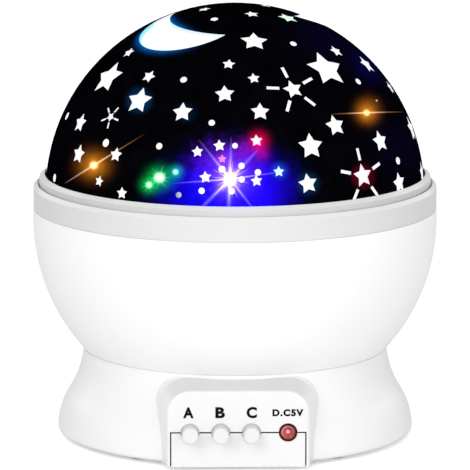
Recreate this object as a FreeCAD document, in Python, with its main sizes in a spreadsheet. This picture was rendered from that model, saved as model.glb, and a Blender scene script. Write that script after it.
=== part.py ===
"""Star night light projector: a lift-off star dome on a motor-driven turntable over a white bowl and foot.

Millimetres, +Z up, +X to the right of the control panel, the panel faces -Y. The origin is on the floor,
on the dome's axis. Every size that drives the shape stands once in the sheet "sizes".
"""
import FreeCAD
import Part
import Sketcher
import math
import os
from FreeCAD import Placement, Rotation, Vector

doc = FreeCAD.newDocument("star_night_light")
sheet = doc.addObject("Spreadsheet::Sheet", "sizes")
UP = Vector(0, 0, 1)


class Size:
    """A length that knows its number and the expression over the sheet that gives it."""

    def __init__(self, number, text):
        self.number = float(number)
        self.text = text

    def __float__(self):
        return self.number

    def _join(self, sign, other, swap=False):
        first, second = (as_size(other), self) if swap else (self, as_size(other))
        a, b = first.number, second.number
        number = {"+": a + b, "-": a - b, "*": a * b}[sign] if sign != "/" else a / b
        return Size(number, "(%s %s %s)" % (first.text, sign, second.text))

    def __add__(self, other):
        return self._join("+", other)

    def __radd__(self, other):
        return self._join("+", other, True)

    def __sub__(self, other):
        return self._join("-", other)

    def __rsub__(self, other):
        return self._join("-", other, True)

    def __mul__(self, other):
        return self._join("*", other)

    def __rmul__(self, other):
        return self._join("*", other, True)

    def __truediv__(self, other):
        return self._join("/", other)

    def __neg__(self):
        return self._join("*", -1.0)


def as_size(value):
    """Return value as a Size, so that plain numbers and sheet sizes mix."""
    return value if isinstance(value, Size) else Size(value, "(%r)" % float(value))


def root(value):
    """Square root of a size."""
    return Size(math.sqrt(float(value)), "sqrt(%s)" % as_size(value).text)


def cosine(angle):
    """Cosine of a size in degrees."""
    return Size(math.cos(math.radians(float(angle))), "cos(%s)" % as_size(angle).text)


def sine(angle):
    """Sine of a size in degrees."""
    return Size(math.sin(math.radians(float(angle))), "sin(%s)" % as_size(angle).text)


rows = []


def size(alias, number, note):
    """Write one driving dimension on its own row of the sheet and return it."""
    row = len(rows) + 1
    rows.append(alias)
    sheet.set("A%d" % row, note)
    sheet.set("B%d" % row, str(number))
    sheet.setAlias("B%d" % row, alias)
    return Size(number, "sizes." + alias)


# Walls, seams and fits
wall = size("wall", 2.0, "wall of the moulded bowl, foot and panel housing")
seam = size("seam", 0.3, "open seam between two shells that meet")
part_gap = size("part_gap", 0.3, "clearance between pieces that move past each other")
hole_gap = size("hole_gap", 0.3, "radial clearance of a screw in its clearance hole")
pilot_gap = size("pilot_gap", 0.05, "radial gap between a screw's core and its boss")

# Foot, flare and bowl
feet_height = size("feet_height", 1.2, "height of the rubber feet below the shell")
foot_radius = size("foot_radius", 57.4, "largest radius of the foot, close to the floor")
foot_round = size("foot_round", 1.4, "rounding at the foot's lower edge")
foot_full_height = size("foot_full_height", 3.4, "height at which the foot is widest")
flare_radius = size("flare_radius", 53.3, "radius where the hollow flare turns into the round foot")
flare_height = size("flare_height", 14.8, "height of that turn")
flare_arc = size("flare_arc", 34.0, "radius of the hollow arc of the flare")
foot_arc = size("foot_arc", 23.0, "radius of the round arc of the foot")
waist_radius = size("waist_radius", 49.0, "radius of the waist where the bowl meets the foot")
waist_height = size("waist_height", 28.7, "height of the waist seam")
bowl_rim = size("bowl_rim", 74.1, "height of the bowl's rim")
bowl_arc = size("bowl_arc", 61.6, "radius of the bowl's side arc")
floor_thick = size("floor_thick", 2.0, "thickness of flanges and floors")
flange_bore = size("flange_bore", 36.0, "radius of the opening through the waist")

# Band round the top of the bowl
band_straight = size("band_straight", 6.5, "straight height of the band above its seam")
band_bevel = size("band_bevel", 1.2, "height and width of the band's upper bevel")
band_land = size("band_land", 0.1, "flat between the band's bevel and its inner wall")
ledge_reach = size("ledge_reach", 5.8, "width of the ledge under the turntable, in from the ring's foot")
ledge_thick = size("ledge_thick", 2.0, "thickness of the ledge under the turntable")
ledge_rise = size("ledge_rise", 2.6, "height of the ledge's upper face above the band's foot")
spigot_wall = size("spigot_wall", 1.4, "wall of the spigot that plugs into the bowl")
spigot_depth = size("spigot_depth", 3.8, "depth of the spigot below the rim")
post_radius = size("post_radius", 1.9, "radius of the deck's screw posts under the band")

# Dome, its ring and the turntable
dome_radius = size("dome_radius", 61.1, "outer radius of the star dome")
centre_drop = size("centre_drop", 1.0, "height of the ring's foot above the dome's sphere centre")
dome_fit = size("dome_fit", 0.2, "radial gap between the dome and its ring")
mask_thick = size("mask_thick", 0.8, "thickness of the black star mask")
liner_gap = size("liner_gap", 0.2, "gap between mask and milky liner")
liner_thick = size("liner_thick", 1.2, "thickness of the milky liner")
ring_wall = size("ring_wall", 2.0, "wall of the dome's ring at its foot, outside the dome")
ring_room = size("ring_room", 0.4, "radial room round the ring inside the band")
ring_draft = size("ring_draft", 0.2, "draft of the ring's outer wall")
ring_height = size("ring_height", 4.4, "height of the ring's outer wall")
ring_bevel_height = size("ring_bevel_height", 1.1, "height of the ring's upper bevel")
ring_seat = size("ring_seat", 2.4, "height of the ledge that the dome stands on, above the ring's foot")
plate_thick = size("plate_thick", 2.0, "thickness of the turntable's flange")
rim_wall = size("rim_wall", 1.7, "wall of the turntable's locating rim")
rim_height = size("rim_height", 1.8, "height of that rim")
skirt_room = size("skirt_room", 0.4, "radial room round the turntable's skirt in its guiding bore")
skirt_depth = size("skirt_depth", 4.8, "depth of the skirt and gear below the flange")
lip_reach = size("lip_reach", 0.9, "reach of the snap lip below the ledge")

# Ring gear and pinion
tooth_module = size("tooth_module", 1.2, "module of the ring gear and pinion")
ring_teeth = size("ring_teeth", 90, "teeth of the ring gear")
pinion_teeth = size("pinion_teeth", 12, "teeth of the pinion")
backlash = size("backlash", 0.22, "backlash at the pitch circle")
pinion_height = size("pinion_height", 4.2, "height of the pinion's teeth")
shaft_radius = size("shaft_radius", 1.5, "radius of the motor shaft")
shaft_fit = size("shaft_fit", 0.05, "radial running clearance of the shaft")
motor_angle = size("motor_angle", 120.0, "where the motor sits round the axis, from +X")
motor_radius = size("motor_radius", 12.0, "radius of the gear motor's can")
motor_depth = size("motor_depth", 14.0, "height of the gear motor's can")
motor_offset = size("motor_offset", 6.0, "offset of the motor's shaft from its can")
ear_reach = size("ear_reach", 15.5, "distance of the motor's screws from the can's middle")
boss_radius = size("boss_radius", 4.2, "radius of the motor's boss")

# Lamp
deck_inset = size("deck_inset", 2.7, "how far the lamp deck's edge lies inside the bowl's rim radius")
deck_thick = size("deck_thick", 2.0, "thickness of the lamp deck")
post_height = size("post_height", 17.7, "height of the lamp post above the deck")
post_foot = size("post_foot", 13.5, "radius of the lamp post's foot flange")
post_low = size("post_low", 7.6, "radius of the post above its flange")
post_high = size("post_high", 6.4, "radius of the post under its head")
post_bore = size("post_bore", 4.4, "bore of the lamp post")
board_radius = size("board_radius", 11.0, "radius of the lamp board and the post's head")
board_thick = size("board_thick", 1.2, "thickness of the lamp board")
lead_radius = size("lead_radius", 1.1, "radius of the inner leads")

# Control panel
panel_front = size("panel_front", 59.0, "distance of the panel's face in front of the axis")
panel_half = size("panel_half", 22.4, "half width of the panel's flat face")
panel_top = size("panel_top", 25.8, "height of the flat face's upper edge")
panel_corner = size("panel_corner", 7.5, "corner radius of the flat face")
panel_depth = size("panel_depth", 15.0, "depth of the housing behind its face")
side_draft = size("side_draft", 3.4, "widening of the housing's sides over its depth")
top_draft = size("top_draft", 2.3, "rise of the housing's top over its depth")
front_round = size("front_round", 0.9, "rounding of the face's edge")
tab_half = size("tab_half", 21.15, "half width of the lower cover's upright tab")
hole_height = size("hole_height", 12.3, "height of the buttons' and the socket's centres")
button_radius = size("button_radius", 2.6, "radius of the push buttons")
button_left = size("button_left", -15.2, "place of button A across the panel")
button_pitch = size("button_pitch", 9.7, "distance between neighbouring buttons")
button_out = size("button_out", 5.6, "how far the buttons stand out of the face")
button_travel = size("button_travel", 1.5, "travel of the buttons")
button_gap = size("button_gap", 0.35, "radial clearance of the buttons in the face")
flange_width = size("flange_width", 1.1, "width of the button's inner flange")
flange_thick = size("flange_thick", 1.5, "thickness of that flange")
stem_radius = size("stem_radius", 1.7, "radius of the button stem and the switch plunger")
stem_fit = size("stem_fit", 0.08, "radial clearance of the plunger in its switch")
socket_place = size("socket_place", 15.7, "place of the power socket across the panel")
socket_radius = size("socket_radius", 2.75, "outer radius of the socket's sleeve")
socket_bore = size("socket_bore", 2.3, "bore of the socket's sleeve")
jack_bore = size("jack_bore", 1.75, "bore that takes the plug")
pin_radius = size("pin_radius", 0.6, "radius of the socket's centre pin")
board_back = size("board_back", 44.3, "distance of the control board's rear face in front of the axis")
pcb_thick = size("pcb_thick", 1.6, "thickness of the control board")
pcb_half = size("pcb_half", 19.5, "half width of the control board")
pcb_height = size("pcb_height", 19.0, "height of the control board")
switch_depth = size("switch_depth", 5.0, "depth of a push switch")
switch_half = size("switch_half", 3.0, "half width of a push switch")

# Bottom cover and battery bay
cover_room = size("cover_room", 0.2, "radial room round the bottom cover inside the foot's wall")
cover_thick = size("cover_thick", 2.0, "thickness of the bottom cover")
bay_half = size("bay_half", 25.6, "half length of the battery bay, along the cells")
bay_near = size("bay_near", -13.8, "front side of the battery bay")
bay_width = size("bay_width", 43.6, "width of the battery bay across its four cells")
bay_height = size("bay_height", 11.0, "height of the battery bay above the cover")
bay_wall = size("bay_wall", 1.6, "wall of the battery bay")
bay_ledge = size("bay_ledge", 2.2, "ledge that the battery door rests under")
door_thick = size("door_thick", 1.6, "thickness of the battery door")
contact_thick = size("contact_thick", 0.4, "thickness of the battery contacts")
contact_half = size("contact_half", 4.0, "half width of a battery contact")
pad_radius = size("pad_radius", 4.5, "radius of a rubber foot")
pad_recess = size("pad_recess", 0.7, "depth of a rubber foot's recess")

# Derived heights that many pieces share
shell_bottom = feet_height
flange_seat = waist_height
cover_top = shell_bottom + cover_thick
band_foot = bowl_rim + seam
band_straight_top = band_foot + band_straight
band_top = band_straight_top + band_bevel
spigot_bottom = bowl_rim - spigot_depth
ledge_top = band_foot + ledge_rise
ledge_bottom = ledge_top - ledge_thick
plate_bottom = ledge_top + part_gap
plate_top = plate_bottom + plate_thick
ring_foot = plate_top + part_gap
dome_seat = ring_foot + ring_seat
ring_wall_top = ring_foot + ring_height
ring_top = ring_wall_top + ring_bevel_height
dome_centre = ring_foot - centre_drop
deck_top = spigot_bottom
deck_bottom = deck_top - deck_thick
pitch_ring = tooth_module * ring_teeth / 2.0
pitch_pinion = tooth_module * pinion_teeth / 2.0
gear_distance = pitch_ring - pitch_pinion
liner_radius = dome_radius - mask_thick - liner_gap

# Derived radii, from the dome outwards and down
ring_inner = dome_radius + dome_fit
ring_radius = ring_inner + ring_wall
band_inner = ring_radius + ring_room
bowl_radius = band_inner + band_land + band_bevel
ledge_bore = ring_radius - ledge_reach
skirt_radius = ledge_bore - skirt_room
ring_bore = skirt_radius + part_gap
deck_radius = bowl_radius - deck_inset
cover_radius = foot_radius - wall - cover_room

doc.recompute()


def plane_of(body, role):
    """Return the body's own origin plane or axis with this role."""
    return [f for f in body.Origin.OriginFeatures if f.Role == role][0]


def new_sketch(body, role, offset=None, name="outline"):
    """Attach a sketch to one of the body's origin planes, moved along its normal by offset."""
    sketch = body.newObject("Sketcher::SketchObject", name)
    sketch.AttachmentSupport = (plane_of(body, role), [""])
    sketch.MapMode = "FlatFace"
    if offset is not None:
        offset = as_size(offset)
        sketch.AttachmentOffset = Placement(Vector(0, 0, offset.number), Rotation())
        sketch.setExpression("AttachmentOffset.Base.z", offset.text)
    return sketch


def tie(sketch, kind, geo, end, value):
    """Hold one coordinate of a sketch point at a sheet expression."""
    value = as_size(value)
    if value.text == "(0.0)":
        sketch.addConstraint(Sketcher.Constraint("PointOnObject", geo, end, -2 if kind == "DistanceX" else -1))
        return
    index = sketch.addConstraint(Sketcher.Constraint(kind, -1, 1, geo, end, value.number))
    sketch.setExpression("Constraints[%d]" % index, value.text)


def draw(sketch, points, arcs=None):
    """Draw one closed outline through (x, y) points.

    arcs gives a side its radius: a positive one bulges to the right of the way along the outline,
    a negative one to the left.
    """
    arcs = arcs or {}
    first = sketch.GeometryCount
    ends = []
    count = len(points)
    for k in range(count):
        p = Vector(float(points[k][0]), float(points[k][1]), 0)
        q_of = points[(k + 1) % count]
        q = Vector(float(q_of[0]), float(q_of[1]), 0)
        if k not in arcs:
            geo = sketch.addGeometry(Part.LineSegment(p, q))
            ends.append((geo, 1, 2))
            continue
        radius = arcs[k]
        bend = abs(float(radius))
        side = 1.0 if float(radius) > 0 else -1.0
        chord = q - p
        half = chord.Length / 2.0
        right = Vector(chord.y, -chord.x, 0).normalize()
        middle = (p + q) * 0.5 - right * (side * math.sqrt(bend * bend - half * half))
        begin, stop = (p, q) if side > 0 else (q, p)
        low = math.atan2(begin.y - middle.y, begin.x - middle.x)
        high = math.atan2(stop.y - middle.y, stop.x - middle.x)
        if high < low:
            high += 2.0 * math.pi
        geo = sketch.addGeometry(Part.ArcOfCircle(Part.Circle(middle, UP, bend), low, high))
        ends.append((geo, 1, 2) if side > 0 else (geo, 2, 1))
        size_of = as_size(radius) if side > 0 else -as_size(radius)
        index = sketch.addConstraint(Sketcher.Constraint("Radius", geo, bend))
        sketch.setExpression("Constraints[%d]" % index, size_of.text)
    for k in range(count):
        geo, start, end = ends[k]
        after, after_start, _ = ends[(k + 1) % count]
        sketch.addConstraint(Sketcher.Constraint("Coincident", geo, end, after, after_start))
        tie(sketch, "DistanceX", geo, start, points[k][0])
        tie(sketch, "DistanceY", geo, start, points[k][1])
    return first


def draw_circle(sketch, x, y, radius):
    """Draw one circle, its centre and radius held by the sheet."""
    x, y, radius = as_size(x), as_size(y), as_size(radius)
    geo = sketch.addGeometry(Part.Circle(Vector(x.number, y.number, 0), UP, radius.number))
    index = sketch.addConstraint(Sketcher.Constraint("Radius", geo, radius.number))
    sketch.setExpression("Constraints[%d]" % index, radius.text)
    tie(sketch, "DistanceX", geo, 3, x)
    tie(sketch, "DistanceY", geo, 3, y)


def rectangle(x_low, x_high, y_low, y_high):
    """Return the four corners of a rectangle."""
    return [(x_low, y_low), (x_high, y_low), (x_high, y_high), (x_low, y_high)]


def new_body(label):
    """Start a named sub-part."""
    body = doc.addObject("PartDesign::Body", label)
    body.Label = label
    return body


def revolve(body, points, arcs=None, name="revolved"):
    """Turn an outline of (radius, height) points about the vertical axis."""
    sketch = new_sketch(body, "XZ_Plane", name=name + "_outline")
    draw(sketch, points, arcs)
    turned = body.newObject("PartDesign::Revolution", name)
    turned.Profile = sketch
    turned.ReferenceAxis = (sketch, ["V_Axis"])
    turned.Angle = 360.0
    doc.recompute()
    return turned


def groove(body, points, arcs=None, name="hollow"):
    """Cut an outline of (radius, height) points turned about the vertical axis."""
    sketch = new_sketch(body, "XZ_Plane", name=name + "_outline")
    draw(sketch, points, arcs)
    cut = body.newObject("PartDesign::Groove", name)
    cut.Profile = sketch
    cut.ReferenceAxis = (sketch, ["V_Axis"])
    cut.Angle = 360.0
    doc.recompute()
    return cut


def extrude(kind, body, sketch, length, name, reverse=False):
    """Pad or pocket a sketch by a sheet length."""
    length = as_size(length)
    feature = body.newObject("PartDesign::" + kind, name)
    feature.Profile = sketch
    feature.Length = length.number
    feature.setExpression("Length", length.text)
    feature.Reversed = reverse
    before = body.Shape.Volume if body.Shape and not body.Shape.isNull() else 0.0
    doc.recompute()
    after = feature.Shape.Volume
    if kind == "Pocket" and not after < before - 1e-6:
        raise ValueError("%s in %s cuts nothing" % (name, body.Label))
    if kind == "Pad" and not after > before + 1e-6:
        raise ValueError("%s in %s adds nothing" % (name, body.Label))
    return feature


def pad(body, sketch, length, name, reverse=False):
    """Add the sketch's outline along its normal."""
    return extrude("Pad", body, sketch, length, name, reverse)


def pocket(body, sketch, length, name, reverse=False):
    """Cut the sketch's outline against its normal, or along it when reversed."""
    return extrude("Pocket", body, sketch, length, name, reverse)


def ring_of(body, feature, count, name):
    """Repeat a feature evenly round the vertical axis."""
    pattern = body.newObject("PartDesign::PolarPattern", name)
    pattern.Originals = [feature]
    pattern.Axis = (plane_of(body, "Z_Axis"), [""])
    pattern.Angle = 360.0
    pattern.Occurrences = count
    body.Tip = pattern
    doc.recompute()
    return pattern


def group(label, shapes):
    """Keep identical separate pieces in one named sub-part."""
    piece = doc.addObject("Part::Feature", label)
    piece.Label = label
    piece.Shape = shapes[0] if len(shapes) == 1 else Part.makeCompound(shapes)
    return piece


def cylinder(radius, low, high, x=0.0, y=0.0):
    """Upright cylinder from one height to another."""
    return Part.makeCylinder(float(radius), float(high) - float(low), Vector(float(x), float(y), float(low)))


def rod(radius, y_back, y_front, x, z):
    """Cylinder along Y, from y_back forward to y_front, with y counted in front of the axis."""
    start = Vector(float(x), -float(y_back), float(z))
    return Part.makeCylinder(float(radius), float(y_front) - float(y_back), start, Vector(0, -1, 0))


def screw(head_radius, head_height, shank_radius, seat, tip):
    """Upright screw on the axis: a chamfered head below the seat and a shank up to the tip."""
    seat, tip = float(seat), float(tip)
    head_radius, head_height = float(head_radius), float(head_height)
    solid = cylinder(head_radius, seat - head_height, seat)
    edge = [e for e in solid.Edges if abs(e.CenterOfMass.z - (seat - head_height)) < 1e-6 and e.Length > 1.0]
    solid = solid.makeChamfer(head_height * 0.35, edge[:1])
    return solid.fuse(cylinder(shank_radius, seat, tip)).removeSplitter()


def at(shape, x, y, z=0.0):
    """Copy of a shape moved to a place."""
    copy = shape.copy()
    copy.translate(Vector(float(x), float(y), float(z)))
    return copy


def round_points(radius, angles):
    """Points on a circle round the axis at these angles in degrees."""
    reach = float(radius)
    return [(reach * math.cos(math.radians(a)), reach * math.sin(math.radians(a))) for a in angles]


# Where fasteners stand
screw_inset = size("screw_inset", 9.6, "case screws, distance inside the cover's edge")
screw_angle = size("screw_angle", 37.87, "case screws, angle from +X")
screw_x = (cover_radius - screw_inset) * cosine(screw_angle)
screw_y = (cover_radius - screw_inset) * sine(screw_angle)
case_shank = size("case_shank", 1.2, "radius of the case screws' shanks")
case_post = size("case_post", 3.3, "radius of the posts that take the case screws")
pad_inset = size("pad_inset", 6.6, "rubber feet, distance inside the cover's edge")
pad_angle = size("pad_angle", 51.87, "rubber feet, angle from +X")
pad_x = (cover_radius - pad_inset) * cosine(pad_angle)
pad_y = (cover_radius - pad_inset) * sine(pad_angle)
waist_inset = size("waist_inset", 7.4, "waist screws, distance inside the waist")
waist_screw = waist_radius - waist_inset
waist_shank = size("waist_shank", 1.0, "radius of the waist screws' shanks")
waist_boss = size("waist_boss", 3.0, "radius of the bowl's screw bosses")
deck_screw_inset = size("deck_screw_inset", 2.1, "deck screws, distance inside the deck's edge")
deck_screw = deck_radius - deck_screw_inset
deck_shank = size("deck_shank", 0.85, "radius of the deck screws' shanks")
post_screw = size("post_screw", 10.6, "lamp post screws, distance from the axis")
motor_shank = size("motor_shank", 1.1, "radius of the motor screws' shanks")
door_screw_y = size("door_screw_y", 26.3, "door screws, distance from the bay's middle line")
door_shank = size("door_shank", 1.0, "radius of the door screws' shanks")
doc.recompute()

# Base shell: the flared foot with the control panel's housing grown out of its front
base_shell = new_body("base_shell")
foot_low = foot_radius - foot_round
revolve(base_shell,
        [(0, shell_bottom), (foot_low, shell_bottom), (foot_radius, shell_bottom + foot_round),
         (foot_radius, foot_full_height), (flare_radius, flare_height),
         (waist_radius, waist_height - seam), (waist_radius - wall, waist_height - seam),
         (waist_radius - wall, flange_seat), (0, flange_seat)],
        {1: foot_round, 3: foot_arc, 4: -flare_arc}, "foot")


def panel_outline(sketch, inset, grow_side, grow_top, corner):
    """Arch outline of the housing: square at the floor, round at the upper corners."""
    half = panel_half + grow_side - inset
    top = panel_top + grow_top - inset
    radius = corner
    draw(sketch,
         [(-half, shell_bottom), (half, shell_bottom), (half, top - radius), (half - radius, top),
          (radius - half, top), (-half, top - radius)],
         {2: radius, 4: radius})


def panel_loft(body, kind, name, inset, near, corner_cut):
    """Loft the housing, or its hollow, from the face back into the foot."""
    front = new_sketch(body, "XZ_Plane", near, name + "_front")
    share = (panel_front - near) / panel_depth
    panel_outline(front, inset, side_draft * share, top_draft * share, panel_corner - corner_cut)
    back = new_sketch(body, "XZ_Plane", panel_front - panel_depth, name + "_back")
    panel_outline(back, inset, side_draft, top_draft, panel_corner + 1.6 - corner_cut)
    loft = body.newObject("PartDesign::" + kind, name)
    loft.Profile = front
    loft.Sections = [back]
    loft.Ruled = True
    doc.recompute()
    return loft


housing = panel_loft(base_shell, "AdditiveLoft", "housing", 0.0, panel_front, 0.0)
face_edges = []
for number, edge in enumerate(housing.Shape.Edges, 1):
    box = edge.BoundBox
    if abs(box.YMin + float(panel_front)) < 1e-6 and abs(box.YMax + float(panel_front)) < 1e-6:
        if box.ZMax > float(shell_bottom) + 0.5:
            face_edges.append("Edge%d" % number)
soft_edge = base_shell.newObject("PartDesign::Fillet", "face_edge")
soft_edge.Base = (housing, face_edges)
soft_edge.Radius = front_round.number
soft_edge.setExpression("Radius", front_round.text)
doc.recompute()

inner_foot = cover_radius + seam
groove(base_shell,
       [(0, shell_bottom - 1.0), (inner_foot, shell_bottom - 1.0), (inner_foot, cover_top),
        (inner_foot - wall * 0.75, cover_top), (inner_foot - wall * 0.75, flare_height - 4.8),
        (flare_radius - wall, flare_height), (waist_radius - wall, waist_height - seam - floor_thick),
        (flange_bore, waist_height - seam - floor_thick), (flange_bore, flange_seat + 1.0), (0, flange_seat + 1.0)],
       {5: -flare_arc}, "inside")
panel_loft(base_shell, "SubtractiveLoft", "housing_hollow", wall, panel_front - wall, 1.6)

# The notch in the face that the bottom cover's upright tab fills, and the round holes on its upper edge
notch = new_sketch(base_shell, "XZ_Plane", panel_front + 1.0, "notch_outline")
notch_half = tab_half + seam
draw(notch, rectangle(-notch_half, notch_half, shell_bottom - 1.0, hole_height + seam / 2.0))
pocket(base_shell, notch, wall + 1.0, "notch")
button_places = [button_left, button_left + button_pitch, button_left + button_pitch * 2.0]
for place, radius, name in [(button_places[0], button_radius, "a"), (button_places[1], button_radius, "b"),
                            (button_places[2], button_radius, "c"),
                            (socket_place, socket_radius - 0.15, "socket")]:
    opening = new_sketch(base_shell, "XZ_Plane", panel_front + 1.0, "hole_%s_outline" % name)
    draw_circle(opening, place, hole_height, radius + button_gap)
    pocket(base_shell, opening, wall + 1.2, "hole_" + name)

# Posts for the case screws and holes for the waist screws
posts = new_sketch(base_shell, "XY_Plane", cover_top, "posts_outline")
for side, depth in ((1.0, 1.0), (-1.0, 1.0), (-1.0, -1.0), (1.0, -1.0)):
    draw_circle(posts, screw_x * side, screw_y * depth, case_post)
pad(base_shell, posts, waist_height - seam - floor_thick - cover_top + 0.2, "posts")
pilots = new_sketch(base_shell, "XY_Plane", cover_top, "pilots_outline")
for side, depth in ((1.0, 1.0), (-1.0, 1.0), (-1.0, -1.0), (1.0, -1.0)):
    draw_circle(pilots, screw_x * side, screw_y * depth, case_shank + pilot_gap)
pocket(base_shell, pilots, 9.5, "pilots", True)
waist_hole = new_sketch(base_shell, "XY_Plane", flange_seat + 1.0, "waist_hole_outline")
draw_circle(waist_hole, waist_screw, 0, waist_shank + hole_gap)
first_hole = pocket(base_shell, waist_hole, floor_thick + seam + 2.0, "waist_hole")
ring_of(base_shell, first_hole, 4, "waist_holes")

# Bowl: a round-sided shell that stands on the waist
bowl_shell = new_body("bowl_shell")
bowl_mid_r = waist_radius + 0.1
inner_arc = bowl_arc - wall
chord_r = bowl_radius - bowl_mid_r
chord_z = bowl_rim - waist_height
chord = root(chord_r * chord_r + chord_z * chord_z)
lift = root(bowl_arc * bowl_arc - chord * chord / 4.0)
arc_r = (bowl_radius + bowl_mid_r) / 2.0 - lift * chord_z / chord
arc_z = (bowl_rim + waist_height) / 2.0 + lift * chord_r / chord
inside_floor = waist_height + floor_thick
inner_low = arc_r + root(inner_arc * inner_arc - (arc_z - inside_floor) * (arc_z - inside_floor))
inner_high = arc_r + root(inner_arc * inner_arc - (bowl_rim - arc_z) * (bowl_rim - arc_z))
revolve(bowl_shell,
        [(flange_bore, waist_height), (bowl_mid_r, waist_height), (bowl_radius, bowl_rim),
         (inner_high, bowl_rim), (inner_low, inside_floor), (flange_bore, inside_floor)],
        {1: bowl_arc, 3: -inner_arc}, "side")
bosses = new_sketch(bowl_shell, "XY_Plane", inside_floor - 0.5, "boss_outline")
draw_circle(bosses, waist_screw, 0, waist_boss)
first_boss = pad(bowl_shell, bosses, 7.0, "boss")
ring_of(bowl_shell, first_boss, 4, "bosses")
boss_holes = new_sketch(bowl_shell, "XY_Plane", waist_height, "boss_hole_outline")
draw_circle(boss_holes, waist_screw, 0, waist_shank + pilot_gap)
first_pilot = pocket(bowl_shell, boss_holes, 7.6, "boss_hole", True)
ring_of(bowl_shell, first_pilot, 4, "boss_holes")

# Band round the bowl's rim: outer wall, turntable ledge and the spigot that plugs into the bowl
top_collar = new_body("top_collar")
spigot_outer = inner_high - part_gap
spigot_inner = spigot_outer - spigot_wall
revolve(top_collar,
        [(spigot_inner, spigot_bottom), (spigot_outer, spigot_bottom), (spigot_outer, bowl_rim),
         (bowl_radius - seam, bowl_rim), (bowl_radius - seam, band_foot), (bowl_radius, band_foot),
         (bowl_radius, band_straight_top), (bowl_radius - band_bevel, band_top), (band_inner, band_top),
         (band_inner, ledge_top), (ledge_bore, ledge_top), (ledge_bore, ledge_bottom),
         (spigot_inner, ledge_bottom)], None, "band")
deck_post = new_sketch(top_collar, "XY_Plane", spigot_bottom, "deck_post_outline")
draw_circle(deck_post, deck_screw, 0, post_radius)
first_post = pad(top_collar, deck_post, ledge_bottom - spigot_bottom + 0.5, "deck_post")
ring_of(top_collar, first_post, 4, "deck_posts")
deck_pilot = new_sketch(top_collar, "XY_Plane", spigot_bottom, "deck_pilot_outline")
draw_circle(deck_pilot, deck_screw, 0, deck_shank + pilot_gap)
first_deck_pilot = pocket(top_collar, deck_pilot, 4.2, "deck_pilot", True)
ring_of(top_collar, first_deck_pilot, 4, "deck_pilots")

# Lamp deck: the white disc that shows when the dome is lifted off
shaft_x = cosine(motor_angle) * gear_distance
shaft_y = sine(motor_angle) * gear_distance
can_x = cosine(motor_angle) * (gear_distance - motor_offset)
can_y = sine(motor_angle) * (gear_distance - motor_offset)
ear_x = sine(motor_angle) * ear_reach
ear_y = cosine(motor_angle) * ear_reach
lamp_deck = new_body("lamp_deck")
disc = new_sketch(lamp_deck, "XY_Plane", deck_bottom, "disc_outline")
draw_circle(disc, 0, 0, deck_radius)
pad(lamp_deck, disc, deck_thick, "disc")
passages = new_sketch(lamp_deck, "XY_Plane", deck_bottom - 1.0, "passages_outline")
draw_circle(passages, 0, 0, post_bore)
draw_circle(passages, shaft_x, shaft_y, boss_radius + hole_gap)
draw_circle(passages, can_x - ear_x, can_y + ear_y, motor_shank + pilot_gap)
draw_circle(passages, can_x + ear_x, can_y - ear_y, motor_shank + pilot_gap)
pocket(lamp_deck, passages, deck_thick + 2.0, "passages", True)
deck_hole = new_sketch(lamp_deck, "XY_Plane", deck_bottom - 1.0, "deck_hole_outline")
draw_circle(deck_hole, deck_screw, 0, deck_shank + hole_gap)
first_deck_hole = pocket(lamp_deck, deck_hole, deck_thick + 2.0, "deck_hole", True)
ring_of(lamp_deck, first_deck_hole, 4, "deck_holes")
post_hole = new_sketch(lamp_deck, "XY_Plane", deck_bottom - 1.0, "post_hole_outline")
draw_circle(post_hole, post_screw, 0, deck_shank + pilot_gap)
first_post_hole = pocket(lamp_deck, post_hole, deck_thick + 2.0, "post_hole", True)
ring_of(lamp_deck, first_post_hole, 3, "post_holes")

# Lamp post: a hollow column with a foot flange and a head for the lamp board
lamp_post = new_body("lamp_post")
head_bottom = deck_top + post_height - floor_thick
post_top = deck_top + post_height
revolve(lamp_post,
        [(post_bore, deck_top), (post_foot, deck_top), (post_foot, deck_top + floor_thick),
         (post_low, deck_top + floor_thick), (post_high, head_bottom - 3.0), (board_radius, head_bottom),
         (board_radius, post_top), (post_bore, post_top)], None, "column")
post_bolt = new_sketch(lamp_post, "XY_Plane", deck_top - 1.0, "post_bolt_outline")
draw_circle(post_bolt, post_screw, 0, deck_shank + hole_gap)
first_bolt = pocket(lamp_post, post_bolt, floor_thick + 1.5, "post_bolt", True)
ring_of(lamp_post, first_bolt, 3, "post_bolts")

# Lamp board with a warm white LED in the middle and three coloured ones round it
lamp_board = new_body("lamp_board")
board_disc = new_sketch(lamp_board, "XY_Plane", post_top, "board_outline")
draw_circle(board_disc, 0, 0, board_radius)
pad(lamp_board, board_disc, board_thick, "board")
board_top = post_top + board_thick


def led(radius, height):
    """Round-nosed LED with a collar, standing on its own foot at the origin."""
    solid = cylinder(radius, 0.0, height - radius).fuse(Part.makeSphere(radius, Vector(0, 0, height - radius)))
    return solid.fuse(cylinder(radius * 1.16, 0.0, 0.9)).removeSplitter()


group("warm_led", [at(led(2.5, 8.6), 0, 0, board_top)])
led_ring = float(size("led_ring", 7.2, "distance of the coloured LEDs from the axis"))
for name, angle in (("red_led", 210.0), ("green_led", 330.0), ("blue_led", 90.0)):
    x, y = round_points(led_ring, [angle])[0]
    group(name, [at(led(1.5, 5.3), x, y, board_top)])

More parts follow.
